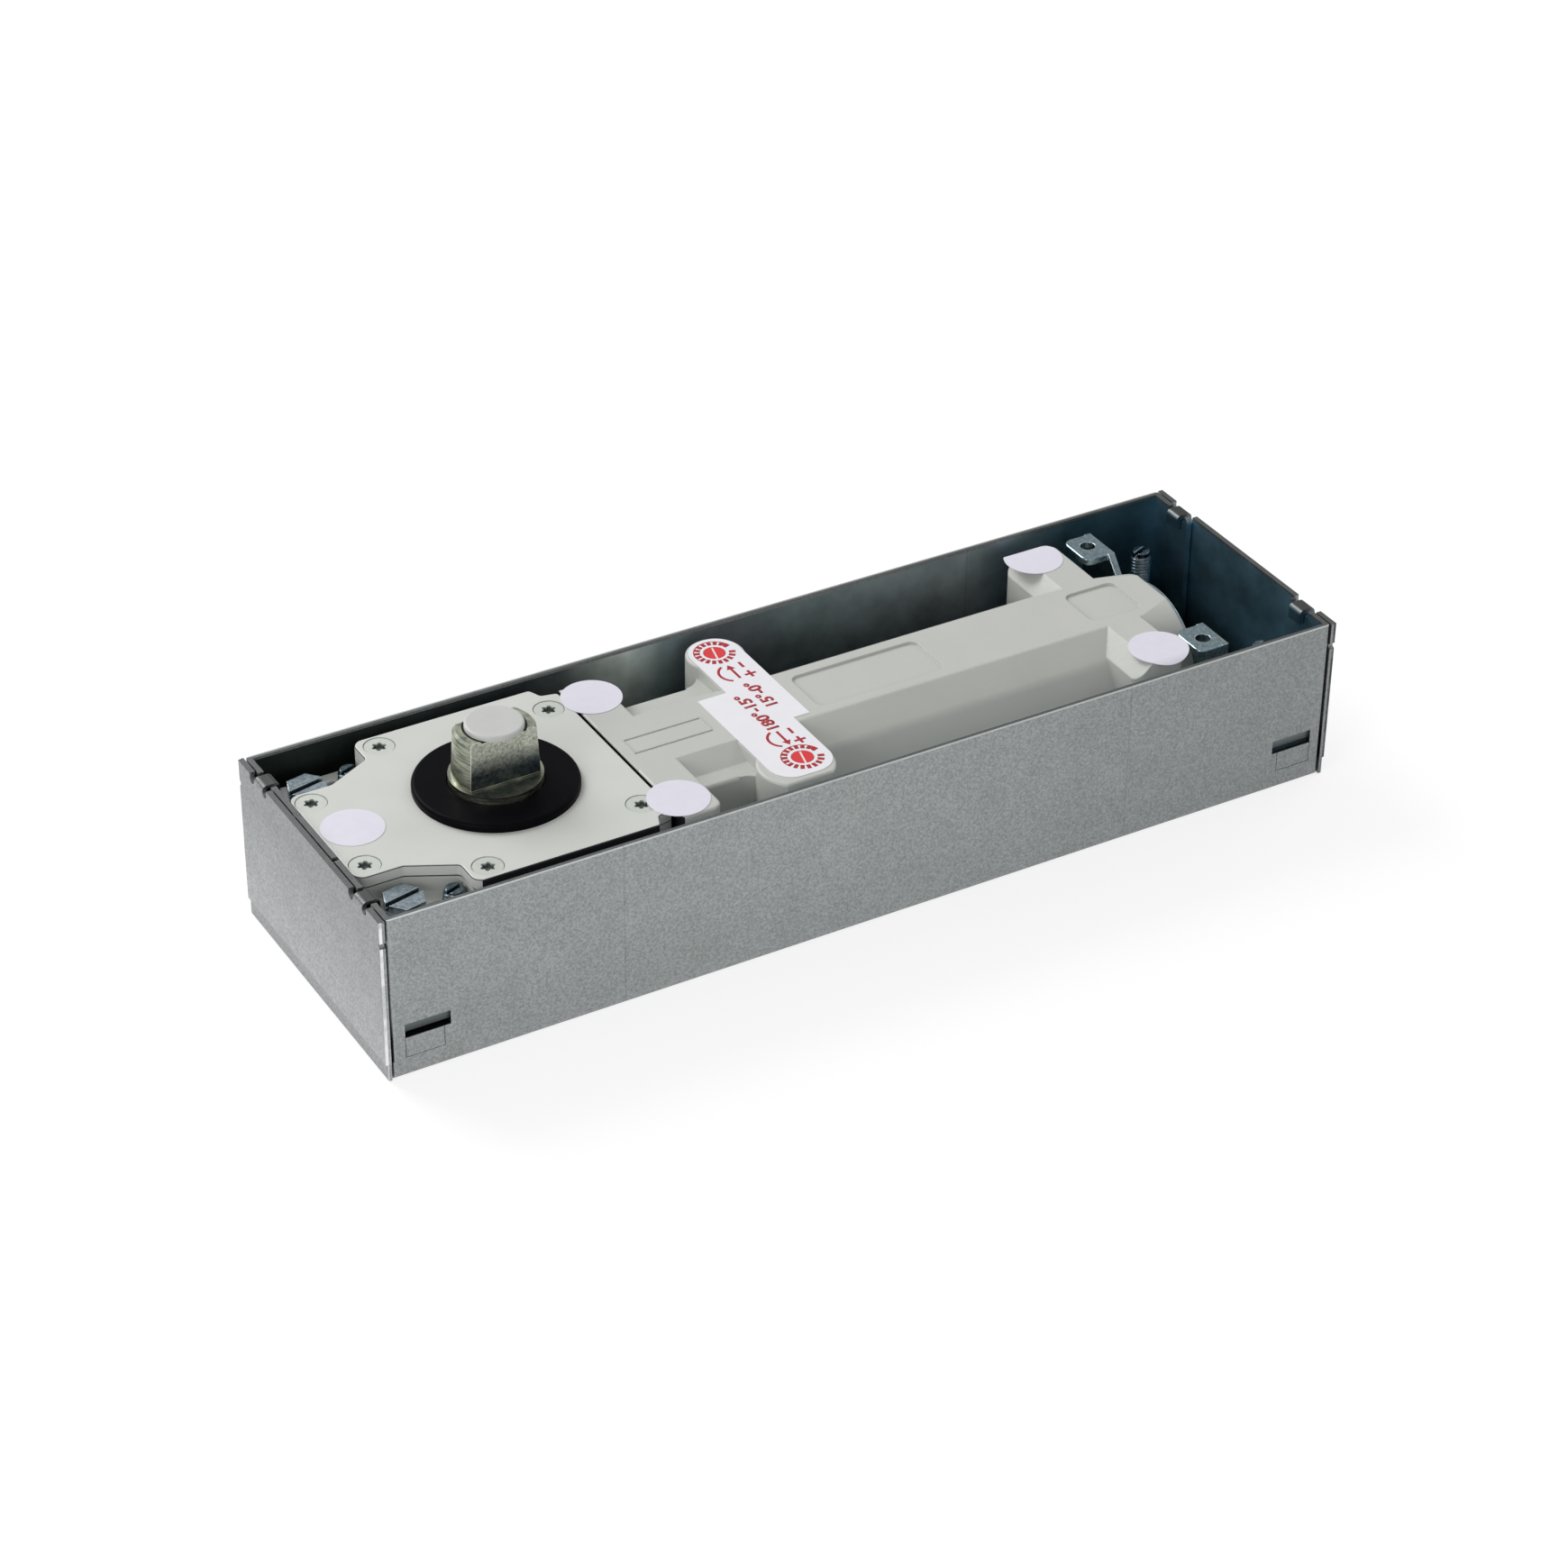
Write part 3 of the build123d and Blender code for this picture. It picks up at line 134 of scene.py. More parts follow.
# The near end panel is painted lighter towards its foot, as light falling on it.
near_panel = add(tree, "ShaderNodeMath", {0: along.outputs["X"], 1: -panel_face}, operation="LESS_THAN")
painted_panel_light = add(tree, "ShaderNodeMapRange",
                 {"Value": along.outputs["Z"], "From Min": 4 * mm, "From Max": 40 * mm, "To Min": 1.34,
                  "To Max": 0.95})
panel_zinc = add(tree, "ShaderNodeVectorMath", {0: toned_down.outputs[0], 1: (1.015, 0.985, 1.0)},
                 operation="MULTIPLY")
panel_painted_lit = add(tree, "ShaderNodeVectorMath", {0: panel_zinc.outputs[0], 1: painted_panel_light.outputs[0]},
                   operation="MULTIPLY")
shaded = add(tree, "ShaderNodeMix", {0: near_panel.outputs[0], 6: toned_down.outputs[0], 7: panel_painted_lit.outputs[0]},
             data_type="RGBA")
across_inside = add(tree, "ShaderNodeMath", {0: along.outputs["Y"]}, operation="ABSOLUTE")
length_inside = add(tree, "ShaderNodeMath", {0: along.outputs["X"]}, operation="ABSOLUTE")
# Round the slots the painted shade of the inside reaches into the sheet's cut faces.
slot_band = add(tree, "ShaderNodeMath", {0: along.outputs["Z"], 1: slot_middle, 2: slot_reach}, operation="COMPARE")
wall_line = add(tree, "ShaderNodeMapRange",
                {"Value": slot_band.outputs[0], "To Min": wall_inside, "To Max": slot_inside})
near_wall = add(tree, "ShaderNodeMath", {0: across_inside.outputs[0], 1: wall_line.outputs[0]}, operation="LESS_THAN")
near_end = add(tree, "ShaderNodeMath", {0: length_inside.outputs[0], 1: end_inside}, operation="LESS_THAN")
below_rim = add(tree, "ShaderNodeMath", {0: along.outputs["Z"], 1: rim_foot}, operation="LESS_THAN")
walls = add(tree, "ShaderNodeMath", {0: near_wall.outputs[0], 1: near_end.outputs[0]}, operation="MULTIPLY")
above_floor = add(tree, "ShaderNodeMath", {0: along.outputs["Z"], 1: 0.8 * mm}, operation="GREATER_THAN")
between = add(tree, "ShaderNodeMath", {0: below_rim.outputs[0], 1: above_floor.outputs[0]}, operation="MULTIPLY")
inside = add(tree, "ShaderNodeMath", {0: walls.outputs[0], 1: between.outputs[0]}, operation="MULTIPLY")
# Inside the box the zinc is painted as light and shade along its length: dark blue-green as shade, with a painted
# glow of reflected light behind the spindle shoulder.
inner_light_end = 140
stretch = add(tree, "ShaderNodeMapRange",
              {"Value": along.outputs["X"], "From Min": -inner_light_end * mm, "From Max": inner_light_end * mm})
film = add(tree, "ShaderNodeValToRGB", {"Fac": stretch.outputs[0]})
painted_inner_tones = ((-140, "3B4442"), (-62, "474D4F"), (-50, "676C6F"), (-40, "B0B9B7"), (-31, "E2ECE9"),
              (-20, "A0B0B4"), (-2, "6D7078"), (20, "839195"), (75, "9AA3A8"), (98, "78919C"),
              (112, "5E8392"), (132, "5C7F8E"), (140, "7CA2B4"))
while len(film.color_ramp.elements) < len(painted_inner_tones):
    film.color_ramp.elements.new(0.5)
for stop, (stop_x, code) in zip(film.color_ramp.elements, painted_inner_tones):
    stop.position = (stop_x + inner_light_end) / (2 * inner_light_end)
    stop.color = linear(code)
streak = add(tree, "ShaderNodeMapRange", {"Value": cloud.outputs["Fac"], "From Min": 0.3, "From Max": 0.7,
                                          "To Min": 0.82, "To Max": 1.16})
painted_inner_light_and_shade = add(tree, "ShaderNodeVectorMath", {0: film.outputs["Color"], 1: streak.outputs[0]}, operation="MULTIPLY")
# The front wall's inside is painted lighter, as light falling on it.
painted_lit_front_side = add(tree, "ShaderNodeMath", {0: along.outputs["Y"], 1: front_inside}, operation="LESS_THAN")
inner = add(tree, "ShaderNodeMix", {0: painted_lit_front_side.outputs[0], 6: painted_inner_light_and_shade.outputs[0], 7: linear("B9C3C6")},
            data_type="RGBA")
# Low in the box the inside is painted darker still, as shade.
painted_depth_shade = add(tree, "ShaderNodeMapRange", {"Value": along.outputs["Z"], "From Min": 12 * mm, "From Max": 24 * mm,
                                        "To Min": 0.08, "To Max": 1.0})
depth_shaded = add(tree, "ShaderNodeVectorMath", {0: inner.outputs[2], 1: painted_depth_shade.outputs[0]}, operation="MULTIPLY")
faced = add(tree, "ShaderNodeMix", {0: inside.outputs[0], 6: shaded.outputs[2], 7: depth_shaded.outputs[0]},
            data_type="RGBA")
rim = add(tree, "ShaderNodeMapRange", {"Value": along.outputs["Z"], "From Min": rim_low, "From Max": rim_high,
                                       "To Min": 0, "To Max": 0.75})
edged = add(tree, "ShaderNodeMix", {0: rim.outputs[0], 6: faced.outputs[2], 7: linear("585A5A")}, data_type="RGBA")
# A painted highlight runs along the outer line of the rim.
outer_line = add(tree, "ShaderNodeMath", {0: across_inside.outputs[0], 1: lit_wall}, operation="GREATER_THAN")
end_line = add(tree, "ShaderNodeMath", {0: length_inside.outputs[0], 1: panel_face}, operation="LESS_THAN")
lit_line = add(tree, "ShaderNodeMath", {0: outer_line.outputs[0], 1: end_line.outputs[0]}, operation="MULTIPLY")
painted_rim_highlight = add(tree, "ShaderNodeMath", {0: lit_line.outputs[0], 1: rim.outputs[0]}, operation="MULTIPLY")
rim_highlighted = add(tree, "ShaderNodeMix", {0: painted_rim_highlight.outputs[0], 6: edged.outputs[2], 7: linear("DDE2E1")},
            data_type="RGBA")
# The near corner's cut edge carries a painted highlight in broken streaks, and the far corner's cut edge a painted
# shade.
beyond_wall = add(tree, "ShaderNodeMath", {0: across_inside.outputs[0], 1: cut_wall}, operation="GREATER_THAN")
beyond_end = add(tree, "ShaderNodeMath", {0: length_inside.outputs[0], 1: panel_face}, operation="GREATER_THAN")
cut_end = add(tree, "ShaderNodeMath", {0: length_inside.outputs[0], 1: cut_face}, operation="GREATER_THAN")
cut_side = add(tree, "ShaderNodeMath", {0: beyond_wall.outputs[0], 1: cut_end.outputs[0]}, operation="MULTIPLY")
broken = add(tree, "ShaderNodeMapRange", {"Value": cloud.outputs["Fac"], "From Min": 0.42, "From Max": 0.52,
                                          "To Min": 0.5, "To Max": 1.0})
painted_cut_light = add(tree, "ShaderNodeMath", {0: cut_side.outputs[0], 1: broken.outputs[0]}, operation="MULTIPLY")
cut_highlight_and_shade = add(tree, "ShaderNodeMix", {0: near_panel.outputs[0], 6: linear("4A4E4F"), 7: linear("F2F4F3")},
               data_type="RGBA")
sided = add(tree, "ShaderNodeMix", {0: painted_cut_light.outputs[0], 6: rim_highlighted.outputs[2], 7: cut_highlight_and_shade.outputs[2]},
            data_type="RGBA")
low_strip = add(tree, "ShaderNodeMath", {0: along.outputs["Z"], 1: strip_height}, operation="LESS_THAN")
low_end = add(tree, "ShaderNodeMath", {0: low_strip.outputs[0], 1: beyond_end.outputs[0]}, operation="MULTIPLY")
low_tone = add(tree, "ShaderNodeMapRange", {"Value": low_end.outputs[0], "To Min": 1.0, "To Max": 0.82})
ended = add(tree, "ShaderNodeVectorMath", {0: sided.outputs[2], 1: low_tone.outputs[0]}, operation="MULTIPLY")
creases = []
for crease_x in crease_places:
    away = add(tree, "ShaderNodeMath", {0: along.outputs["X"], 1: crease_x * mm}, operation="SUBTRACT")
    apart = add(tree, "ShaderNodeMath", {0: away.outputs[0]}, operation="ABSOLUTE")
    creases.append(add(tree, "ShaderNodeMath", {0: apart.outputs[0], 1: crease_half}, operation="LESS_THAN"))
either = add(tree, "ShaderNodeMath", {0: creases[0].outputs[0], 1: creases[1].outputs[0]}, operation="MAXIMUM")
faint = add(tree, "ShaderNodeMath", {0: either.outputs[0], 1: 0.22}, operation="MULTIPLY")
marked = add(tree, "ShaderNodeMix", {0: faint.outputs[0], 6: ended.outputs[0], 7: linear("3F4444")}, data_type="RGBA")
# The lugs are painted darker, as shade.
lug_length = add(tree, "ShaderNodeMath", {0: length_inside.outputs[0], 1: lug_x, 2: lug_x_reach}, operation="COMPARE")
lug_height = add(tree, "ShaderNodeMath", {0: along.outputs["Z"], 1: lug_foot}, operation="GREATER_THAN")
lug_width = add(tree, "ShaderNodeMath", {0: across_inside.outputs[0], 1: lug_y, 2: lug_y_reach}, operation="COMPARE")
lug = add(tree, "ShaderNodeMath", {0: lug_length.outputs[0], 1: lug_height.outputs[0]}, operation="MULTIPLY")
lug = add(tree, "ShaderNodeMath", {0: lug.outputs[0], 1: lug_width.outputs[0]}, operation="MULTIPLY")
lug_painted_shade = add(tree, "ShaderNodeMapRange", {"Value": lug.outputs[0], "To Min": 1.0, "To Max": 0.6})
rolled_over = add(tree, "ShaderNodeVectorMath", {0: marked.outputs[2], 1: lug_painted_shade.outputs[0]}, operation="MULTIPLY")
tree.links.new(rolled_over.outputs[0], shader.inputs["Base Color"])
dull = add(tree, "ShaderNodeMapRange", {"Value": cloud.outputs["Fac"], "To Min": 0.4, "To Max": 0.56})
tree.links.new(dull.outputs[0], shader.inputs["Roughness"])
bump = add(tree, "ShaderNodeBump", {"Height": grain.outputs["Fac"], "Strength": 0.12, "Distance": 0.05 * mm})
tree.links.new(bump.outputs[0], shader.inputs["Normal"])
dress(sheet, "box_shell", "end_panel_spindle", "end_panel_far")


# Clamp bushes: two turned steel bushes, welded to the box floor, that take the clamp bolts.
# Plain steel, darkened in patches by the weld heat.
def mottled(name, patch, detail, dark, light, **surface):
    material, tree, shader, place = start_material(name, **surface)
    cloud = add(tree, "ShaderNodeTexNoise", {"Vector": place, "Scale": 1 / patch, "Detail": detail})
    tone = add(tree, "ShaderNodeMix", {0: cloud.outputs["Fac"], 6: linear(dark), 7: linear(light)}, data_type="RGBA")
    tree.links.new(tone.outputs[2], shader.inputs["Base Color"])
    return material


welded = mottled("turned steel, heat-darkened", 3 * mm, 3.0, "4C4A48", "7C7A78", Metallic=1.0, Roughness=0.5)
dress(welded, "clamp_bushes")


# Closer housing: one iron casting, painted light grey all over, with machined seats under the paint.
# The paint has a low satin gloss and lies softly over the cast skin, whose faint pebbles are drawn a little coarser
# than they are. The joint beside the cover and the block's face under the cover's front edge are painted dark as
# shade.
paint, tree, shader, place = start_material("light grey paint on cast iron", Roughness=0.42)
skin = add(tree, "ShaderNodeTexNoise", {"Vector": place, "Scale": 1 / (1.3 * mm), "Detail": 3.0, "Roughness": 0.55})
soft = add(tree, "ShaderNodeTexNoise", {"Vector": place, "Scale": 1 / (14 * mm), "Detail": 2.0})
tone = add(tree, "ShaderNodeMix", {0: soft.outputs["Fac"], 6: linear("B9BBB6"), 7: linear("C2C3BE")},
           data_type="RGBA")
along = add(tree, "ShaderNodeSeparateXYZ", {0: place})
cover_low, cover_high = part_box("cover_plate")
cover_end = cover_high[0]
joint_width = 0.86 * mm
joint_top = 46.6 * mm
# Painted shade: the faces in the joint beside the cover and under its front edge are painted near black.
past = add(tree, "ShaderNodeMath", {0: along.outputs["X"], 1: cover_end}, operation="SUBTRACT")
joint_side = add(tree, "ShaderNodeMapRange", {"Value": past.outputs[0], "From Min": -0.1 * mm, "From Max": 0.05 * mm})
joint_face = add(tree, "ShaderNodeMath", {0: past.outputs[0], 1: joint_width}, operation="LESS_THAN")
joint_deep = add(tree, "ShaderNodeMath", {0: along.outputs["Z"], 1: joint_top}, operation="LESS_THAN")
joint = add(tree, "ShaderNodeMath", {0: joint_side.outputs[0], 1: joint_face.outputs[0]}, operation="MULTIPLY")
joint = add(tree, "ShaderNodeMath", {0: joint.outputs[0], 1: joint_deep.outputs[0]}, operation="MULTIPLY")
block_front = add(tree, "ShaderNodeMath", {0: along.outputs["Y"], 1: cover_low[1] + 0.45 * mm}, operation="LESS_THAN")
block_side = add(tree, "ShaderNodeMath", {0: along.outputs["X"], 1: cover_end + 1 * mm}, operation="LESS_THAN")
gap = add(tree, "ShaderNodeMath", {0: block_front.outputs[0], 1: block_side.outputs[0]}, operation="MULTIPLY")
gap = add(tree, "ShaderNodeMath", {0: gap.outputs[0], 1: joint.outputs[0]}, operation="MAXIMUM")
painted_gap_shade = add(tree, "ShaderNodeMix", {0: gap.outputs[0], 6: tone.outputs[2], 7: linear("15171A")}, data_type="RGBA")
tree.links.new(painted_gap_shade.outputs[2], shader.inputs["Base Color"])
cast_end = add(tree, "ShaderNodeMapRange",
               {"Value": along.outputs["X"], "From Min": 36 * mm, "From Max": 44 * mm, "To Min": 0.22, "To Max": 0.5})
flow = add(tree, "ShaderNodeBevel", {"Radius": 0.5 * mm}, samples=6)
bump = add(tree, "ShaderNodeBump", {"Height": skin.outputs["Fac"], "Strength": cast_end.outputs[0],
                                    "Distance": 0.12 * mm, "Normal": flow.outputs[0]})
tree.links.new(bump.outputs[0], shader.inputs["Normal"])
dress(paint, "closer_housing")


# Cover gasket: a thin rubber sheet clamped under the cover plate, seen only as a dark line, and the moulded rubber
# seals of the shaft, the piston, the end plug and the valves, which lie in their grooves. The rubber is matt black.
rubber = mottled("black moulded rubber", 1.5 * mm, 2.0, "101012", "1C1B1E", Roughness=0.6)
dress(rubber, "cover_gasket", "shaft_seal", "end_plug_seal", "piston_ring", "regulating_valve_seal_front",
      "regulating_valve_seal_back")


# Cover plate: pressed steel plate, screwed over the spindle block and painted with the casting, but smoother.
# A few dust specks lie in the paint, and round the sunk screws the plate is darker. Its faces in the joint to the
# shoulder and along its front edge are painted dark as shade.
cover, tree, shader, place = start_material("light grey paint on steel plate", Roughness=0.38)
soft = add(tree, "ShaderNodeTexNoise", {"Vector": place, "Scale": 1 / (12 * mm), "Detail": 2.0})
skin = add(tree, "ShaderNodeTexNoise", {"Vector": place, "Scale": 1 / (2.2 * mm), "Detail": 2.0})
dust = add(tree, "ShaderNodeTexVoronoi", {"Vector": place, "Scale": 1 / (5 * mm)}, feature="F1")
spot = add(tree, "ShaderNodeMapRange", {"Value": dust.outputs["Distance"], "From Min": 0.0, "From Max": 0.035,
                                        "To Min": 0.45, "To Max": 0.0})
tone = add(tree, "ShaderNodeMix", {0: soft.outputs["Fac"], 6: linear("C8CAC5"), 7: linear("D0D2CD")},
           data_type="RGBA")
spotted = add(tree, "ShaderNodeMix", {0: spot.outputs[0], 6: tone.outputs[2], 7: linear("8E908C")}, data_type="RGBA")
along = add(tree, "ShaderNodeSeparateXYZ", {0: place})
painted_shade_top = 46.4 * mm
# Painted shade on the plate's faces in the joint to the shoulder and along its front edge.
joint_side = add(tree, "ShaderNodeMath", {0: along.outputs["X"], 1: cover_end - 0.12 * mm}, operation="GREATER_THAN")
joint_deep = add(tree, "ShaderNodeMath", {0: along.outputs["Z"], 1: painted_shade_top}, operation="LESS_THAN")
joint = add(tree, "ShaderNodeMath", {0: joint_side.outputs[0], 1: joint_deep.outputs[0]}, operation="MULTIPLY")
face = add(tree, "ShaderNodeNewGeometry", {}).outputs["True Normal"]
facing = add(tree, "ShaderNodeSeparateXYZ", {0: face})
upward = add(tree, "ShaderNodeMath", {0: facing.outputs["Z"], 1: 0.3}, operation="GREATER_THAN")
sunk = add(tree, "ShaderNodeMath", {0: along.outputs["Z"], 1: cover_high[2] - 0.1 * mm}, operation="LESS_THAN")
ring = add(tree, "ShaderNodeMath", {0: upward.outputs[0], 1: sunk.outputs[0]}, operation="MULTIPLY")
ringed = add(tree, "ShaderNodeMix", {0: ring.outputs[0], 6: spotted.outputs[2], 7: linear("55585A")},
             data_type="RGBA")
gap_face = add(tree, "ShaderNodeMath", {0: along.outputs["Y"], 1: cover_low[1] + 0.25 * mm}, operation="LESS_THAN")
gap = add(tree, "ShaderNodeMath", {0: gap_face.outputs[0], 1: joint.outputs[0]}, operation="MAXIMUM")
painted_gap_shade = add(tree, "ShaderNodeMix", {0: gap.outputs[0], 6: ringed.outputs[2], 7: linear("15171A")}, data_type="RGBA")
tree.links.new(painted_gap_shade.outputs[2], shader.inputs["Base Color"])
bump = add(tree, "ShaderNodeBump", {"Height": skin.outputs["Fac"], "Strength": 0.12, "Distance": 0.08 * mm})
tree.links.new(bump.outputs[0], shader.inputs["Normal"])
dress(cover, "cover_plate")


# Cover screws: countersunk steel screws with a six-lobe recess, zinc plated and pale with a film of the paint.
# The recess is bare steel, painted darker with its depth below the head's face, as shade.
screw_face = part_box("cover_screws")[1][2]
screws, tree, shader, place = start_material("pale zinc-plated steel", Metallic=0.35, Roughness=0.35)
depth = add(tree, "ShaderNodeSeparateXYZ", {0: place}).outputs["Z"]
# The recess darkens with its depth: bare steel with painted shade.
hollow = add(tree, "ShaderNodeMapRange", {"Value": depth, "From Min": screw_face - 0.7 * mm,
                                          "From Max": screw_face - 0.15 * mm})
cloud = add(tree, "ShaderNodeTexNoise", {"Vector": place, "Scale": 1 / (1.2 * mm), "Detail": 3.0})
bare_and_shaded = add(tree, "ShaderNodeMix", {0: cloud.outputs["Fac"], 6: linear("3B403F"), 7: linear("8F9694")},
           data_type="RGBA")
pale = add(tree, "ShaderNodeMix", {0: cloud.outputs["Fac"], 6: linear("C6CCC5"), 7: linear("D8DCD5")},
           data_type="RGBA")
tone = add(tree, "ShaderNodeMix", {0: hollow.outputs[0], 6: bare_and_shaded.outputs[2], 7: pale.outputs[2]}, data_type="RGBA")
tree.links.new(tone.outputs[2], shader.inputs["Base Color"])
dress(screws, "cover_screws")


# Spindle collar: a black moulded plastic ring that is pressed over the shaft seal and shields it.
# Its satin skin is nearly without gloss, so it stays dark under the lamps.
collar, tree, shader, place = start_material("black satin moulded plastic", Roughness=0.4, Specular_IOR_Level=0.03)
cloud = add(tree, "ShaderNodeTexNoise", {"Vector": place, "Scale": 1 / (2.5 * mm), "Detail": 3.0})
tone = add(tree, "ShaderNodeMix", {0: cloud.outputs["Fac"], 6: linear("070609"), 7: linear("0D0C10")},
           data_type="RGBA")
tree.links.new(tone.outputs[2], shader.inputs["Base Color"])
bump = add(tree, "ShaderNodeBump", {"Height": cloud.outputs["Fac"], "Strength": 0.1, "Distance": 0.05 * mm})
tree.links.new(bump.outputs[0], shader.inputs["Normal"])
dress(collar, "spindle_collar")


# Bearings and mechanism, shut in the housing: needle and ball bearing, cam, roller, piston, check ball, spring seat,
# end plug and fixing screw, of hardened steel, turned and ground. The ground steel is bright, with faint patches.
ground = mottled("hardened steel, ground", 0.8 * mm, 3.0, "A5A6A8", "C2C3C5", Metallic=1.0, Roughness=0.25)
dress(ground, "upper_bearing_shell", "upper_bearing_needles", "lower_bearing_outer_ring",
      "lower_bearing_inner_ring", "lower_bearing_balls", "cam_disc", "cam_key", "cam_roller", "roller_pin", "piston",
      "check_ball", "check_ball_retainer", "spring_seat", "end_plug", "spindle_end_screw")


# Spindle: forged steel shaft with a turned top ring, and on it the exchangeable end, turned and milled to flats.
# Its yellow-passivated zinc is greenish, bright on turned ridges and speckled on the flats. Light and shade are
# painted
# into it: a painted reflection on the flats, dark towards their foot and light above, painted highlights along the
# flats' edges and round their foot, a painted shade line below them and a painted shadow round the cap. The turning
# marks and the speckle are drawn coarser than they are, so that they show.
spindle_low, spindle_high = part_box("spindle_end")
spindle_middle = (spindle_low + spindle_high) / 2
flat_foot = 51.3 * mm
edge_line_half = 0.09 * mm
shadow_line = 50.9 * mm
foot_edge, foot_half = 51.5 * mm, 0.1 * mm
cap_reach = 8.35 * mm
cap_seat = 64.6 * mm
zinc, tree, shader, place = start_material("yellow-passivated zinc on steel", Metallic=1.0, Roughness=0.3)
centred = add(tree, "ShaderNodeVectorMath", {0: place, 1: (spindle_middle[0], spindle_middle[1], 0)},
              operation="SUBTRACT")
parts = add(tree, "ShaderNodeSeparateXYZ", {0: centred.outputs[0]})
across = add(tree, "ShaderNodeMath", {0: parts.outputs["Y"]}, operation="ABSOLUTE")
flare = add(tree, "ShaderNodeMapRange", {"Value": parts.outputs["Z"], "From Min": 51.2 * mm, "From Max": 65 * mm,
                                         "To Min": 5.75 * mm, "To Max": 5.25 * mm})
milled = add(tree, "ShaderNodeMath", {0: across.outputs[0], 1: flare.outputs[0]}, operation="GREATER_THAN")
above = add(tree, "ShaderNodeMath", {0: parts.outputs["Z"], 1: flat_foot}, operation="GREATER_THAN")
flat = add(tree, "ShaderNodeMath", {0: milled.outputs[0], 1: above.outputs[0]}, operation="MULTIPLY")
lines_place = add(tree, "ShaderNodeMapping", {"Vector": place, "Scale": (0.12, 0.12, 1)})
ridges = add(tree, "ShaderNodeTexNoise", {"Vector": lines_place.outputs[0], "Scale": 1 / (0.7 * mm), "Detail": 3.0,
                                          "Roughness": 0.6})
speckle = add(tree, "ShaderNodeTexNoise",
              {"Vector": place, "Scale": 1 / (0.9 * mm), "Detail": 4.0, "Roughness": 0.75})
patch = add(tree, "ShaderNodeTexNoise", {"Vector": place, "Scale": 1 / (5 * mm), "Detail": 3.0})
tone = add(tree, "ShaderNodeMix", {0: patch.outputs["Fac"], 6: linear("A6AB98"), 7: linear("DCDDC8")},
           data_type="RGBA")
deep = add(tree, "ShaderNodeMapRange", {"Value": ridges.outputs["Fac"], "From Min": 0.38, "From Max": 0.58})
grooved = add(tree, "ShaderNodeMix", {0: deep.outputs[0], 6: linear("7C8379"), 7: tone.outputs[2]}, data_type="RGBA")
# Painted reflection on the flats: dark towards their foot, where the black collar lies below, and light above.
reflection_climb = add(tree, "ShaderNodeMapRange", {"Value": parts.outputs["Z"], "From Min": 55 * mm, "From Max": 62 * mm})
wavy = add(tree, "ShaderNodeMath", {0: patch.outputs["Fac"], 1: 0.5, 2: reflection_climb.outputs[0]}, operation="MULTIPLY_ADD")
cleared = add(tree, "ShaderNodeMapRange", {"Value": wavy.outputs[0], "From Min": 0.2, "From Max": 1.1})
plain = add(tree, "ShaderNodeMix", {0: cleared.outputs[0], 6: linear("454F56"), 7: linear("D6DACC")},
            data_type="RGBA")
flecks = add(tree, "ShaderNodeMapRange", {"Value": speckle.outputs["Fac"], "From Min": 0.36, "From Max": 0.62,
                                          "To Min": 0.5, "To Max": 1.2})
flecked = add(tree, "ShaderNodeVectorMath", {0: plain.outputs[2], 1: flecks.outputs[0]}, operation="MULTIPLY")
worked = add(tree, "ShaderNodeMix", {0: flat.outputs[0], 6: grooved.outputs[2], 7: flecked.outputs[0]},
             data_type="RGBA")
# A painted highlight runs along each flat's edge.
from_flat = add(tree, "ShaderNodeMath", {0: across.outputs[0], 1: flare.outputs[0]}, operation="SUBTRACT")
beside = add(tree, "ShaderNodeMath", {0: from_flat.outputs[0], 1: 0.03 * mm}, operation="ADD")
off_edge = add(tree, "ShaderNodeMath", {0: beside.outputs[0]}, operation="ABSOLUTE")
close = add(tree, "ShaderNodeMath", {0: off_edge.outputs[0], 1: edge_line_half}, operation="LESS_THAN")
corner = add(tree, "ShaderNodeMath", {0: close.outputs[0], 1: above.outputs[0]}, operation="MULTIPLY")
edge_highlight = add(tree, "ShaderNodeMath", {0: corner.outputs[0], 1: 0.8}, operation="MULTIPLY")
edge_lit = add(tree, "ShaderNodeMix", {0: edge_highlight.outputs[0], 6: worked.outputs[2], 7: linear("F4F5E6")},
               data_type="RGBA")
from_shadow = add(tree, "ShaderNodeMath", {0: parts.outputs["Z"], 1: shadow_line}, operation="SUBTRACT")
off_shadow = add(tree, "ShaderNodeMath", {0: from_shadow.outputs[0]}, operation="ABSOLUTE")
under_flat = add(tree, "ShaderNodeMapRange",
                 {"Value": off_shadow.outputs[0], "From Min": 0.15 * mm, "From Max": 0.4 * mm, "To Min": 0.35,
                  "To Max": 1.0})
seated = add(tree, "ShaderNodeVectorMath", {0: edge_lit.outputs[2], 1: under_flat.outputs[0]}, operation="MULTIPLY")
# A thin painted highlight line rings the spindle end at the flats' foot.
from_foot = add(tree, "ShaderNodeMath", {0: parts.outputs["Z"], 1: foot_edge}, operation="SUBTRACT")
off_foot = add(tree, "ShaderNodeMath", {0: from_foot.outputs[0]}, operation="ABSOLUTE")
foot = add(tree, "ShaderNodeMath", {0: off_foot.outputs[0], 1: foot_half}, operation="LESS_THAN")
foot_highlight = add(tree, "ShaderNodeMath", {0: foot.outputs[0], 1: 0.75}, operation="MULTIPLY")
footed = add(tree, "ShaderNodeMix", {0: foot_highlight.outputs[0], 6: seated.outputs[0], 7: linear("F4F5E6")},
             data_type="RGBA")
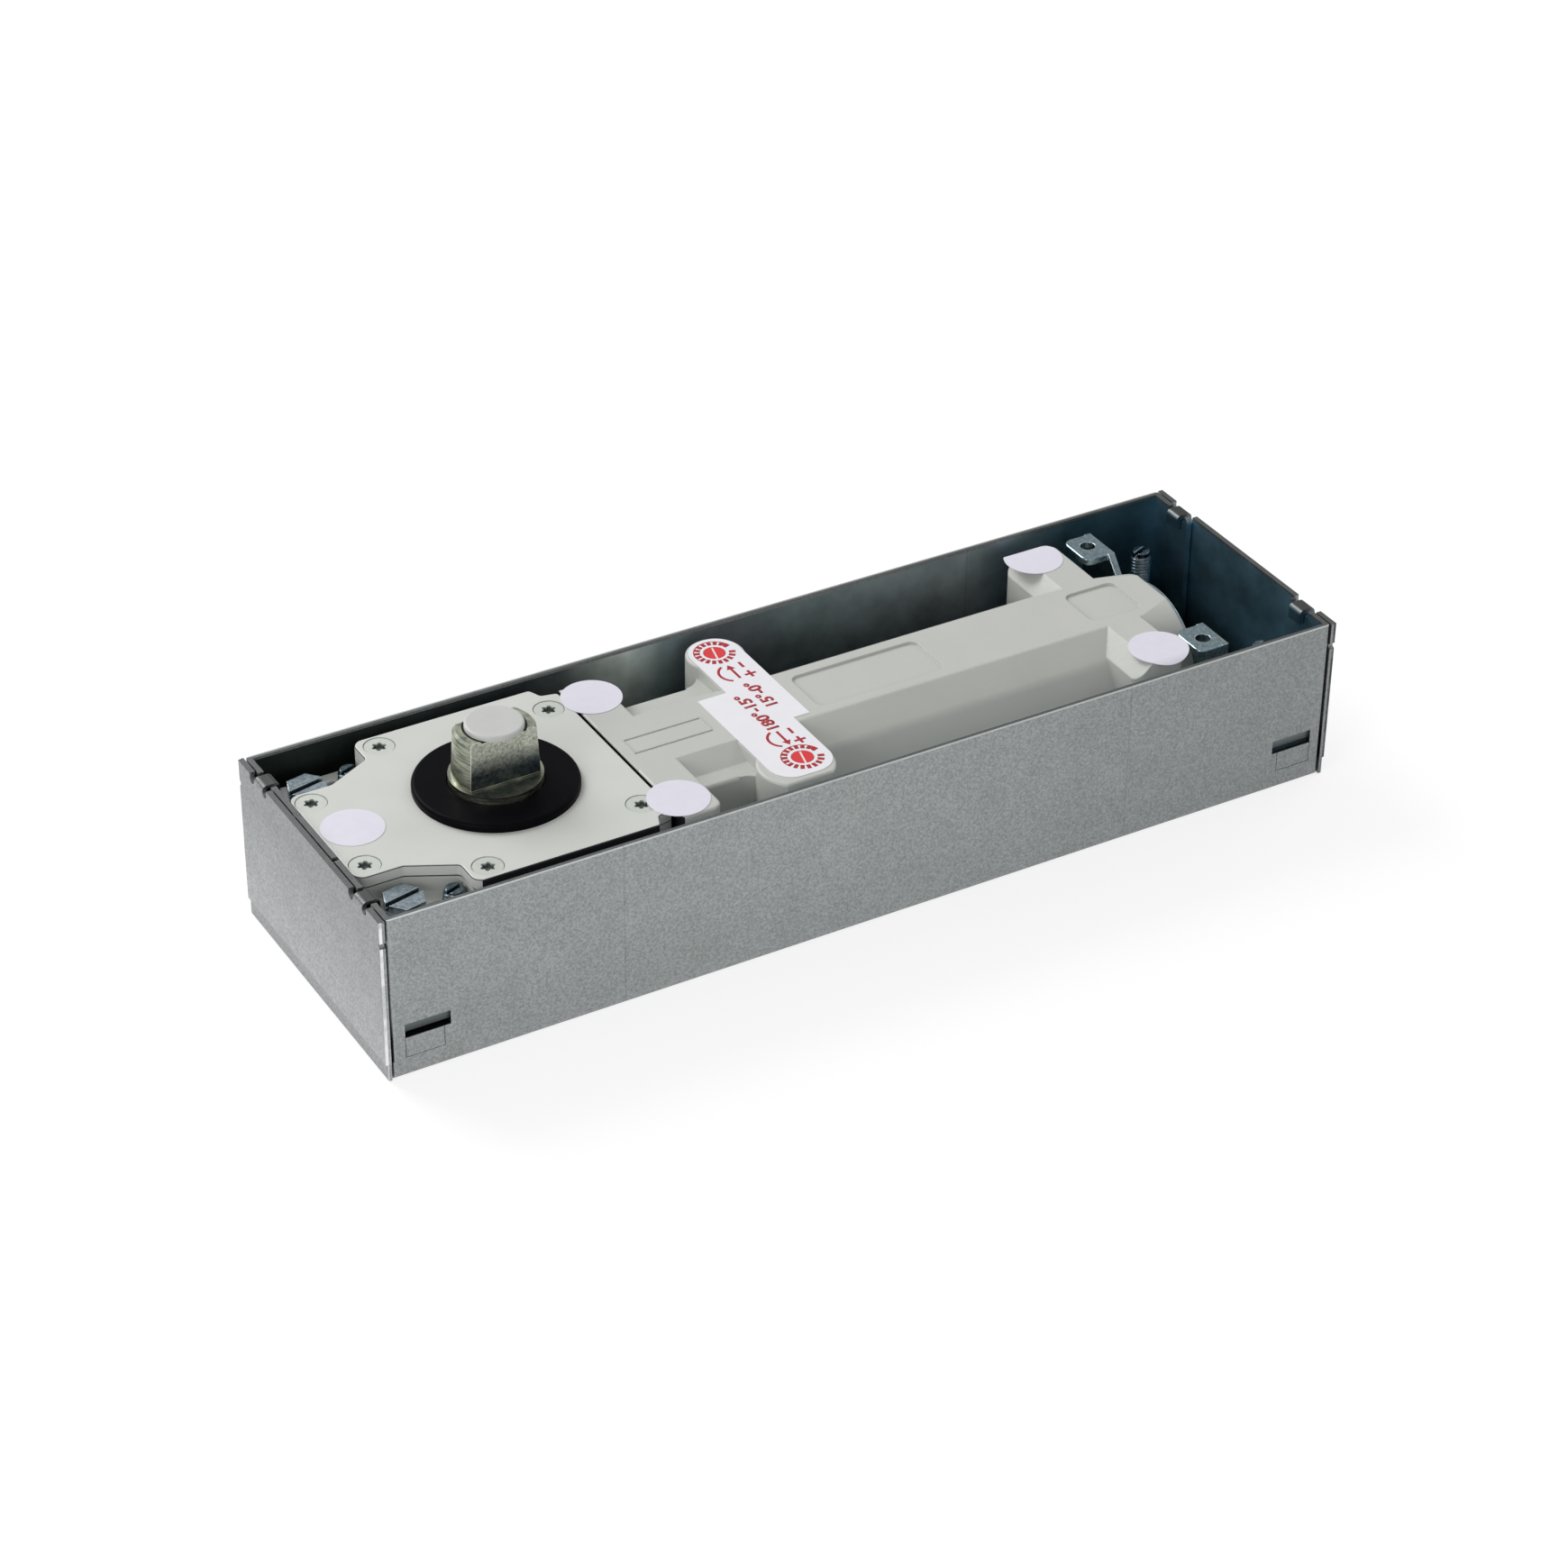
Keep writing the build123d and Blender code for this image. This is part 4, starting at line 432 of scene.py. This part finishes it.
# Painted shadow: the top face round the cap is painted dark.
from_axis = add(tree, "ShaderNodeVectorMath", {0: centred.outputs[0], 1: (1, 1, 0)}, operation="MULTIPLY")
reach = add(tree, "ShaderNodeVectorMath", {0: from_axis.outputs[0]}, operation="LENGTH")
near_cap = add(tree, "ShaderNodeMath", {0: reach.outputs["Value"], 1: cap_reach}, operation="LESS_THAN")
top_face = add(tree, "ShaderNodeMath", {0: parts.outputs["Z"], 1: cap_seat}, operation="GREATER_THAN")
painted_cap_shadow = add(tree, "ShaderNodeMath", {0: near_cap.outputs[0], 1: top_face.outputs[0]}, operation="MULTIPLY")
capped = add(tree, "ShaderNodeMix", {0: painted_cap_shadow.outputs[0], 6: footed.outputs[2], 7: linear("2C3029")},
             data_type="RGBA")
tree.links.new(capped.outputs[2], shader.inputs["Base Color"])
dull = add(tree, "ShaderNodeMapRange", {"Value": speckle.outputs["Fac"], "To Min": 0.18, "To Max": 0.5})
tree.links.new(dull.outputs[0], shader.inputs["Roughness"])
fine = add(tree, "ShaderNodeBump", {"Height": speckle.outputs["Fac"], "Strength": 0.25, "Distance": 0.06 * mm})
turned_part = add(tree, "ShaderNodeMapRange", {"Value": flat.outputs[0], "To Min": 0.3, "To Max": 0.0})
turned = add(tree, "ShaderNodeBump", {"Height": ridges.outputs["Fac"], "Strength": turned_part.outputs[0],
                                      "Distance": 0.1 * mm, "Normal": fine.outputs[0]})
tree.links.new(turned.outputs[0], shader.inputs["Normal"])
dress(zinc, "spindle_shaft", "spindle_end")


# Spindle cap: a light grey plug of moulded plastic, pushed into the spindle end over its fixing screw.
# It has a rounded edge and an even satin skin.
cap = mottled("light grey moulded plastic", 4 * mm, 2.0, "BCBDBA", "C5C6C3", Roughness=0.45)
dress(cap, "spindle_cap")


# Closing spring: cold-wound spring steel, dark and oiled, in the housing's bore.
# Its far end stands on the spring seat and its near end follows the piston, so it shortens as the door opens.
oiled = mottled("oiled spring steel", 1.5 * mm, 3.0, "3A3A3C", "66666A", Metallic=1.0, Roughness=0.32)
dress(oiled, "closing_spring")


def finish_piece(name, form, material):
    mesh = bpy.data.meshes.new(name)
    form.to_mesh(mesh)
    form.free()
    mesh.materials.append(material)
    piece = bpy.data.objects.new(name, mesh)
    bpy.context.scene.collection.objects.link(piece)
    return piece


wound = bmesh.new()
wound.from_mesh(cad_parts["closing_spring"].data)
bmesh.ops.remove_doubles(wound, verts=wound.verts, dist=0.001 * mm)
spring = finish_piece("closing_spring_wound", wound, oiled)
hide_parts("closing_spring")
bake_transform(spring)


# Regulating valves: turned brass needles that meter the oil, screwed into the housing and slotted for a driver.
# The face that shows in the label's dials is lacquered red, and its slot is wiped clean, so it shows as a pale line.
front_dial, back_dial = (-15.5, -26.75), (-10.5, 28.3)
driver_slot_turn = -76.5
driver_slot_half = 0.26 * mm
for name, middle in (("regulating_valve_front", front_dial), ("regulating_valve_back", back_dial)):
    lacquer, tree, shader, place = start_material("red lacquer on brass, " + name.split("_")[-1], Roughness=0.4)
    centred = add(tree, "ShaderNodeMapping", {"Vector": place, "Location": (-middle[0] * mm, -middle[1] * mm, 0)})
    turned = add(tree, "ShaderNodeVectorRotate",
                 {"Vector": centred.outputs[0], "Angle": math.radians(driver_slot_turn)}, rotation_type="Z_AXIS")
    across = add(tree, "ShaderNodeSeparateXYZ", {0: turned.outputs[0]})
    side = add(tree, "ShaderNodeMath", {0: across.outputs["Y"]}, operation="ABSOLUTE")
    inside = add(tree, "ShaderNodeMath", {0: side.outputs[0], 1: driver_slot_half}, operation="LESS_THAN")
    cloud = add(tree, "ShaderNodeTexNoise", {"Vector": place, "Scale": 1 / (0.8 * mm), "Detail": 2.0})
    tone = add(tree, "ShaderNodeMix", {0: cloud.outputs["Fac"], 6: linear("D22630"), 7: linear("DC3238")},
               data_type="RGBA")
    wiped = add(tree, "ShaderNodeMix", {0: inside.outputs[0], 6: tone.outputs[2], 7: linear("F0E9E4")},
                data_type="RGBA")
    tree.links.new(wiped.outputs[2], shader.inputs["Base Color"])
    dress(lacquer, name)


# Valve label: a white plastic film with a hole over each valve, stuck to the housing and printed in one red.
# Each dial has a ring of ticks, a turning arrow, minus and plus, and the two ranges stand in degrees between them.
# The ink is drawn as flat raised shapes, a little thicker where two of them cross.
label_film = mottled("white label film", 5 * mm, 2.0, "E4E3E9", "EBEAEF", Roughness=0.45)
dress(label_film, "valve_label")

label_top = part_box("valve_label")[1][2]
ink_thickness = 0.02 * mm
ink_middle = label_top + ink_thickness / 2
second_pass = 0.004 * mm
stroke_width = 0.75
ink = bmesh.new()


def print_bar(x, y, length, width, degrees, build_up=0.0):
    thickness = ink_thickness + build_up
    middle = Matrix.Translation((x * mm, y * mm, label_top + thickness / 2))
    turned = middle @ Matrix.Rotation(math.radians(degrees), 4, "Z")
    bmesh.ops.create_cube(ink, size=1, matrix=turned @ Matrix.Diagonal((length * mm, width * mm, thickness, 1)))


def print_arc(x, y, radius, width, start, end, steps, build_up=0.0):
    heights = (label_top, label_top + ink_thickness + build_up)
    inner = [ink.verts.new(((x + (radius - width / 2)) * mm, y * mm, z)) for z in heights]
    outer = [ink.verts.new(((x + (radius + width / 2)) * mm, y * mm, z)) for z in heights]
    section = ink.faces.new((inner[0], outer[0], outer[1], inner[1]))
    centre = (x * mm, y * mm, 0)
    bmesh.ops.rotate(ink, verts=section.verts, cent=centre, matrix=Matrix.Rotation(math.radians(start), 3, "Z"))
    bmesh.ops.spin(ink, geom=[section] + list(section.edges) + list(section.verts), cent=centre, axis=(0, 0, 1),
                   dvec=(0, 0, 0), angle=math.radians(end - start), steps=steps, use_merge=False)


tick_inner, tick_outer, tick_width = 3.9, 5.7, 1.1
tick_count, tick_step = 17, 20
rim_width, rim_start, rim_end = 0.3, 20, 200
start_mark, start_radius, start_length = 27, 4.9, 1.3
for x, y in (front_dial, back_dial):
    for number in range(tick_count):
        angle = tick_step + number * tick_step
        middle = (tick_inner + tick_outer) / 2
        print_bar(x + middle * math.cos(math.radians(angle)), y + middle * math.sin(math.radians(angle)),
                  tick_outer - tick_inner, tick_width, angle)
    print_arc(x, y, tick_outer - rim_width / 2, rim_width, rim_start, rim_end, 24, second_pass)
    print_bar(x + start_radius * math.cos(math.radians(start_mark)),
              y + start_radius * math.sin(math.radians(start_mark)),
              start_length, tick_width, start_mark, 2 * second_pass)

turn_start, turn_end = 115, 238
shaft_length, shaft_back = 5.6, 0.6
head_radius, head_ahead = 1.45 * mm, 2.3
sign_width, minus_length, plus_length = 0.8, 2.8, 3.3
# Each row: the straight arrow's middle and its way, the arc's centre and radius, and where minus and plus stand.
for x, y, way, arc_x, arc_y, radius, sign_x, minus_y, plus_y in (
        (-10.65, 17.4, 1, -10.7, 17.2, 4.2, -7.22, 19.7, 14.7),
        (-15.4, -16.6, -1, -15.4, -16.6, 4.05, -11.98, -14.56, -19.4)):
    print_bar(x, y - way * shaft_back, shaft_length, stroke_width, 90, second_pass)
    head_place = Matrix.Translation((x * mm, (y + way * head_ahead) * mm, ink_middle))
    bmesh.ops.create_cone(ink, cap_ends=True, segments=3, radius1=head_radius, radius2=head_radius,
                          depth=ink_thickness,
                          matrix=head_place @ Matrix.Rotation(math.radians(90 * way - 90), 4, "Z"))
    print_arc(arc_x, arc_y, radius, stroke_width, turn_start, turn_end, 16)
    print_bar(sign_x, minus_y, minus_length, sign_width, 90)
    print_bar(sign_x, plus_y, plus_length, sign_width, 0)
    print_bar(sign_x, plus_y, plus_length, sign_width, 90, second_pass)
bmesh.ops.recalc_face_normals(ink, faces=ink.faces)

letter_height = 4.7 * mm
letter_weight = 0.18 * mm
for words, base_x, start_y, length in (("180°-15°", -13.7, -11.7, 18.2), ("15°-0°", -8.3, -1.6, 12.6)):
    letters = bpy.data.curves.new("letters", "FONT")
    letters.body = words
    letters.size = letter_height
    letters.offset = letter_weight
    setting = bpy.data.objects.new("letters", letters)
    bpy.context.scene.collection.objects.link(setting)
    bpy.context.view_layer.update()
    flat = bpy.data.meshes.new_from_object(setting.evaluated_get(bpy.context.evaluated_depsgraph_get()))
    left = min(v.co.x for v in flat.vertices)
    width = max(v.co.x for v in flat.vertices) - left
    baseline = Matrix.Translation((base_x * mm, start_y * mm, label_top))
    upright = baseline @ Matrix.Rotation(math.radians(90), 4, "Z")
    stretched = upright @ Matrix.Diagonal((length * mm / width, 1, 1, 1))
    flat.transform(stretched @ Matrix.Translation((-left, 0, 0)))
    word = bmesh.new()
    word.from_mesh(flat)
    bmesh.ops.remove_doubles(word, verts=word.verts, dist=0.08 * mm)
    bmesh.ops.dissolve_degenerate(word, edges=word.edges, dist=0.02 * mm)
    raised = bmesh.ops.extrude_face_region(word, geom=list(word.faces))
    bmesh.ops.translate(word, verts=[v for v in raised["geom"] if isinstance(v, bmesh.types.BMVert)],
                        vec=(0, 0, ink_thickness))
    bmesh.ops.recalc_face_normals(word, faces=word.faces)
    word.to_mesh(flat)
    word.free()
    ink.from_mesh(flat)
    bpy.data.objects.remove(setting)

red_ink = mottled("red printing ink", 0.6 * mm, 2.0, "98131E", "AE1A24", Roughness=0.5)
print_piece = finish_piece("valve_label_print", ink, red_ink)
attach(print_piece, "closer")


# Round stickers: five discs cut from lilac-white film with a dull skin, stuck by hand to the cover and the housing.
# Where one hangs over an edge of the casting, it bends down in a few small steps.
sticker = mottled("lilac-white sticker film", 3 * mm, 3.0, "D8D6E2", "E0DEE8", Roughness=0.5)
dress(sticker, "round_stickers")

discs = bmesh.new()
low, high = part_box("round_stickers")
film_low, film_high = low[2], high[2]
sticker_radius = 8.2 * mm
bend_step = 0.8
bend_lines = range(6)
# Each row: the disc's middle, the edge where it starts to bend, the way it hangs over, and the degrees of each bend.
for x, y, edge, way, turn in ((-129.7, 0.4, -140, 0, 0),
                              (-52.4, -27.8, -36.4, -1, 4), (-49.3, 25.0, 38, 1, 0),
                              (94.4, -27.2, -32.6, -1, 7), (90.6, 28.5, 31.6, 1, 9)):
    disc = bmesh.ops.create_cone(discs, cap_ends=True, segments=72, radius1=sticker_radius, radius2=sticker_radius,
                                 depth=film_high - film_low,
                                 matrix=Matrix.Translation((x * mm, y * mm, (film_low + film_high) / 2)))
    whole = disc["verts"]
    for number in bend_lines:
        line = edge + way * number * bend_step
        faces = {f for v in whole for f in v.link_faces}
        edges = {e for v in whole for e in v.link_edges}
        touched = list(faces) + list(edges) + whole
        cut = bmesh.ops.bisect_plane(discs, geom=touched, plane_co=(0, line * mm, 0), plane_no=(0, 1, 0))
        whole = list({v for item in cut["geom"] for v in (item.verts if hasattr(item, "verts") else [item])})
    for number in reversed(bend_lines):
        line = edge + way * number * bend_step
        outer = [v for v in whole if way * (v.co.y - line * mm) > 0.01 * mm]
        bmesh.ops.rotate(discs, verts=outer, cent=(0, line * mm, film_low),
                         matrix=Matrix.Rotation(math.radians(-way * turn), 3, "X"))
bmesh.ops.recalc_face_normals(discs, faces=discs.faces)
laid = finish_piece("round_stickers_laid", discs, sticker)
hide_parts("round_stickers")
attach(laid, "closer")


# Clamp bolts, strap bracket and its screws: slotted hexagon bolts that clamp the closer down, and a bent steel strap
# screwed to the housing's end. All have blue-passivated zinc with small scuffs, in three copies that differ in their
# tones as painted light and shade: lighter on the bolts, darker on the strap and darkest on the threaded screws
# below.
# Painted highlights run along the edges, and the bolts' slots are painted dark at the bottom as shade.
slot_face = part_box("clamp_bolts")[1][2] - 0.5 * mm
blue_zinc = {}
# Three copies of the zinc, lighter and darker as painted light and shade.
for finish, dark, light, edge_light, names in (("bright", "788A96", "C8D6DD", 0.9, ("clamp_bolts",)),
                                        ("satin", "72868E", "A8BDC4", 0.9, ("strap_bracket", "bracket_screws")),
                                        ("dark", "2E3A42", "7E909A", 0.3, ())):
    blue, tree, shader, place = start_material("blue-passivated zinc on steel, " + finish, Metallic=1.0,
                                               Roughness=0.28)
    cloud = add(tree, "ShaderNodeTexNoise",
                {"Vector": place, "Scale": 1 / (1.0 * mm), "Detail": 3.0, "Roughness": 0.6})
    scuffs = add(tree, "ShaderNodeMapRange", {"Value": cloud.outputs["Fac"], "From Min": 0.25, "From Max": 0.75})
    patch = add(tree, "ShaderNodeTexNoise", {"Vector": place, "Scale": 1 / (7 * mm), "Detail": 2.0})
    tone = add(tree, "ShaderNodeMix", {0: scuffs.outputs[0], 6: linear(dark), 7: linear(light)}, data_type="RGBA")
    # Painted highlights along the edges, found from the bevel's rounded normal.
    rounded = add(tree, "ShaderNodeBevel", {"Radius": 0.35 * mm}, samples=6)
    face = add(tree, "ShaderNodeNewGeometry", {}).outputs["True Normal"]
    turned = add(tree, "ShaderNodeVectorMath", {0: rounded.outputs[0], 1: face}, operation="DOT_PRODUCT")
    edge = add(tree, "ShaderNodeMapRange",
               {"Value": turned.outputs["Value"], "From Min": 0.98, "From Max": 0.8, "To Min": 0.0, "To Max": edge_light})
    highlighted = add(tree, "ShaderNodeMix", {0: edge.outputs[0], 6: tone.outputs[2], 7: linear("EEF6F8")},
                 data_type="RGBA")
    # Painted shade at the bottom of the bolts' slots.
    if finish == "bright":
        height = add(tree, "ShaderNodeSeparateXYZ", {0: place}).outputs["Z"]
        facing = add(tree, "ShaderNodeSeparateXYZ", {0: face})
        upward = add(tree, "ShaderNodeMath", {0: facing.outputs["Z"], 1: 0.8}, operation="GREATER_THAN")
        sunk = add(tree, "ShaderNodeMath", {0: height, 1: slot_face}, operation="LESS_THAN")
        painted_slot_shade = add(tree, "ShaderNodeMath", {0: upward.outputs[0], 1: sunk.outputs[0]}, operation="MULTIPLY")
        highlighted = add(tree, "ShaderNodeMix", {0: painted_slot_shade.outputs[0], 6: highlighted.outputs[2], 7: linear("1E2A34")},
                     data_type="RGBA")
    tree.links.new(highlighted.outputs[2], shader.inputs["Base Color"])
    dull = add(tree, "ShaderNodeMapRange", {"Value": patch.outputs["Fac"], "To Min": 0.14, "To Max": 0.34})
    tree.links.new(dull.outputs[0], shader.inputs["Roughness"])
    bump = add(tree, "ShaderNodeBump", {"Height": cloud.outputs["Fac"], "Strength": 0.15, "Distance": 0.08 * mm,
                                        "Normal": rounded.outputs[0]})
    tree.links.new(bump.outputs[0], shader.inputs["Normal"])
    dress(blue, *names)
    blue_zinc[finish] = blue


# Levelling screws and studs: M6 steel set screws with a rolled thread and a driver slot, on which the closer is
# levelled. Each stands on the box floor, in the darkest copy of the blue-passivated zinc, painted dark as shade.
thread_pitch = 1.0 * mm
thread_outer = 2.98 * mm
thread_core = 2.5 * mm
thread_root = thread_core - 0.1 * mm
thread_start = 0.4 * mm
thread_spare = 1.6 * mm
thread_chamfer = 0.3 * mm
turn_steps = 20
slot_depth = 1.4 * mm
slot_half = 0.55 * mm
slot_turn = 20
cheek_steps = 14
for name, body in (("levelling_screw_front", "level_near_front"), ("levelling_screw_back", "level_near_back"),
                   ("levelling_stud_front", "level_far_front"), ("levelling_stud_back", "level_far_back")):
    low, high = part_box(name)
    axis_x, axis_y = (low[0] + high[0]) / 2, (low[1] + high[1]) / 2
    screw = bmesh.new()
    slot_floor = high[2] - slot_depth
    bmesh.ops.create_cone(screw, cap_ends=True, segments=32, radius1=thread_core, radius2=thread_core,
                          depth=slot_floor - low[2],
                          matrix=Matrix.Translation((axis_x, axis_y, (low[2] + slot_floor) / 2)))
    for half in (0, 180):
        first = math.degrees(math.asin(slot_half / thread_core))
        arc = [math.radians(slot_turn + half + first + (180 - 2 * first) * step / cheek_steps)
               for step in range(cheek_steps + 1)]
        verts = [screw.verts.new((axis_x + thread_core * math.cos(a), axis_y + thread_core * math.sin(a), slot_floor))
                 for a in arc]
        cheek = screw.faces.new(verts)
        raised = bmesh.ops.extrude_face_region(screw, geom=[cheek])
        bmesh.ops.translate(screw, verts=[v for v in raised["geom"] if isinstance(v, bmesh.types.BMVert)],
                            vec=(0, 0, slot_depth))
        top = [f for f in raised["geom"] if isinstance(f, bmesh.types.BMFace)]
        bmesh.ops.bevel(screw, geom=list(top[0].edges), offset=thread_chamfer, offset_type="OFFSET", segments=2,
                        profile=0.5, affect="EDGES", material=-1)
    turns = int((high[2] - low[2] - thread_spare) / thread_pitch)
    start = low[2] + thread_start
    corners = [(thread_root, 0), (thread_outer, 0.4 * thread_pitch), (thread_outer, 0.5 * thread_pitch),
               (thread_root, 0.9 * thread_pitch)]
    verts = [screw.verts.new((axis_x + r, axis_y, start + z)) for r, z in corners]
    section = screw.faces.new(verts)
    bmesh.ops.spin(screw, geom=[section] + list(section.edges) + list(section.verts), cent=(axis_x, axis_y, 0),
                   axis=(0, 0, 1), dvec=(0, 0, thread_pitch / turn_steps), angle=math.radians(360) * turns,
                   steps=turn_steps * turns, use_merge=False)
    bmesh.ops.recalc_face_normals(screw, faces=screw.faces)
    piece = finish_piece(name + "_threaded", screw, blue_zinc["dark"])
    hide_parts(name)
    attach(piece, body)


# Studio: a sheet of white paper under the box, four broad soft lamps and a plain white room, all at a plain level.
# The paper glows only for the camera and in mirrors, and the room is full white only for the camera. The camera
# stands where the box's corners fall as in the photograph.
floor_radius = 8
floor_drop = -0.0003
floor_paint = bpy.data.materials.new("white paper floor")
floor_paint.use_nodes = True
tree = floor_paint.node_tree
tree.nodes.clear()
rays = add(tree, "ShaderNodeLightPath", {})
seen = add(tree, "ShaderNodeMath", {0: rays.outputs["Is Camera Ray"], 1: rays.outputs["Is Glossy Ray"]},
           operation="MAXIMUM")
seen = add(tree, "ShaderNodeMath", {0: seen.outputs[0], 1: rays.outputs["Is Transmission Ray"]}, operation="MAXIMUM")
lit = add(tree, "ShaderNodeBsdfDiffuse", {"Color": (0.72, 0.72, 0.72, 1)})
shade = add(tree, "ShaderNodeBsdfDiffuse", {"Color": (0.3, 0.3, 0.3, 1)})
glow = add(tree, "ShaderNodeEmission", {"Color": (1, 1, 1, 1), "Strength": 0.76})
pale = add(tree, "ShaderNodeAddShader", {0: shade.outputs[0], 1: glow.outputs[0]})
both = add(tree, "ShaderNodeMixShader", {0: seen.outputs[0], 1: lit.outputs[0], 2: pale.outputs[0]})
add(tree, "ShaderNodeOutputMaterial", {"Surface": both.outputs[0]})
floor = bmesh.new()
bmesh.ops.create_circle(floor, cap_ends=True, radius=floor_radius, segments=64,
                        matrix=Matrix.Translation((0, 0, floor_drop)))
floor_piece = finish_piece("floor", floor, floor_paint)

world = bpy.data.worlds.new("studio")
bpy.context.scene.world = world
world.use_nodes = True
tree = world.node_tree
tree.nodes.clear()
rays = add(tree, "ShaderNodeLightPath", {})
seen = add(tree, "ShaderNodeMath", {0: rays.outputs["Is Camera Ray"], 1: rays.outputs["Is Transmission Ray"]},
           operation="MAXIMUM")
strength = add(tree, "ShaderNodeMapRange", {"Value": seen.outputs[0], "To Min": 0.5, "To Max": 1.0})
room = add(tree, "ShaderNodeBackground", {"Color": (1, 1, 1, 1), "Strength": strength.outputs[0]})
add(tree, "ShaderNodeOutputWorld", {"Surface": room.outputs[0]})

for name, where, size, power in (("lamp_overhead", (-0.4, 1.2, 1.1), 0.9, 16.5),
                                 ("lamp_left", (-1.0, -0.5, 0.42), 0.5, 3.6),
                                 ("lamp_front", (-0.4, -1.2, 0.6), 0.8, 0.8),
                                 ("lamp_right", (1.1, 0.35, 0.75), 0.6, 2.0)):
    lamp = bpy.data.lights.new(name, "AREA")
    lamp.size = size
    lamp.energy = power
    lamp_object = bpy.data.objects.new(name, lamp)
    aimed = Vector(where).to_track_quat("Z", "Y").to_matrix().to_4x4()
    lamp_object.matrix_world = Matrix.Translation(where) @ aimed
    bpy.context.scene.collection.objects.link(lamp_object)

azimuth, elevation, roll = math.radians(-30.44), math.radians(33.58), math.radians(0.64)
camera_distance = 1125.7
target = Vector((-5.2 * mm, 0, 19.9 * mm))
back = Vector((math.sin(azimuth) * math.cos(elevation), -math.cos(azimuth) * math.cos(elevation),
               math.sin(elevation)))
right = (-back).cross(Vector((0, 0, 1))).normalized()
up = right.cross(-back)
rolled_right = math.cos(roll) * right + math.sin(roll) * up
rolled_up = math.cos(roll) * up - math.sin(roll) * right
camera = bpy.data.cameras.new("camera")
camera.lens = 97.36
camera.sensor_width = 36
camera_object = bpy.data.objects.new("camera", camera)
camera_turn = Matrix((rolled_right, rolled_up, back)).transposed().to_4x4()
camera_object.matrix_world = Matrix.Translation(target + back * camera_distance * mm) @ camera_turn
bpy.context.scene.collection.objects.link(camera_object)
bpy.context.scene.camera = camera_object
bpy.context.scene.view_settings.view_transform = "Standard"
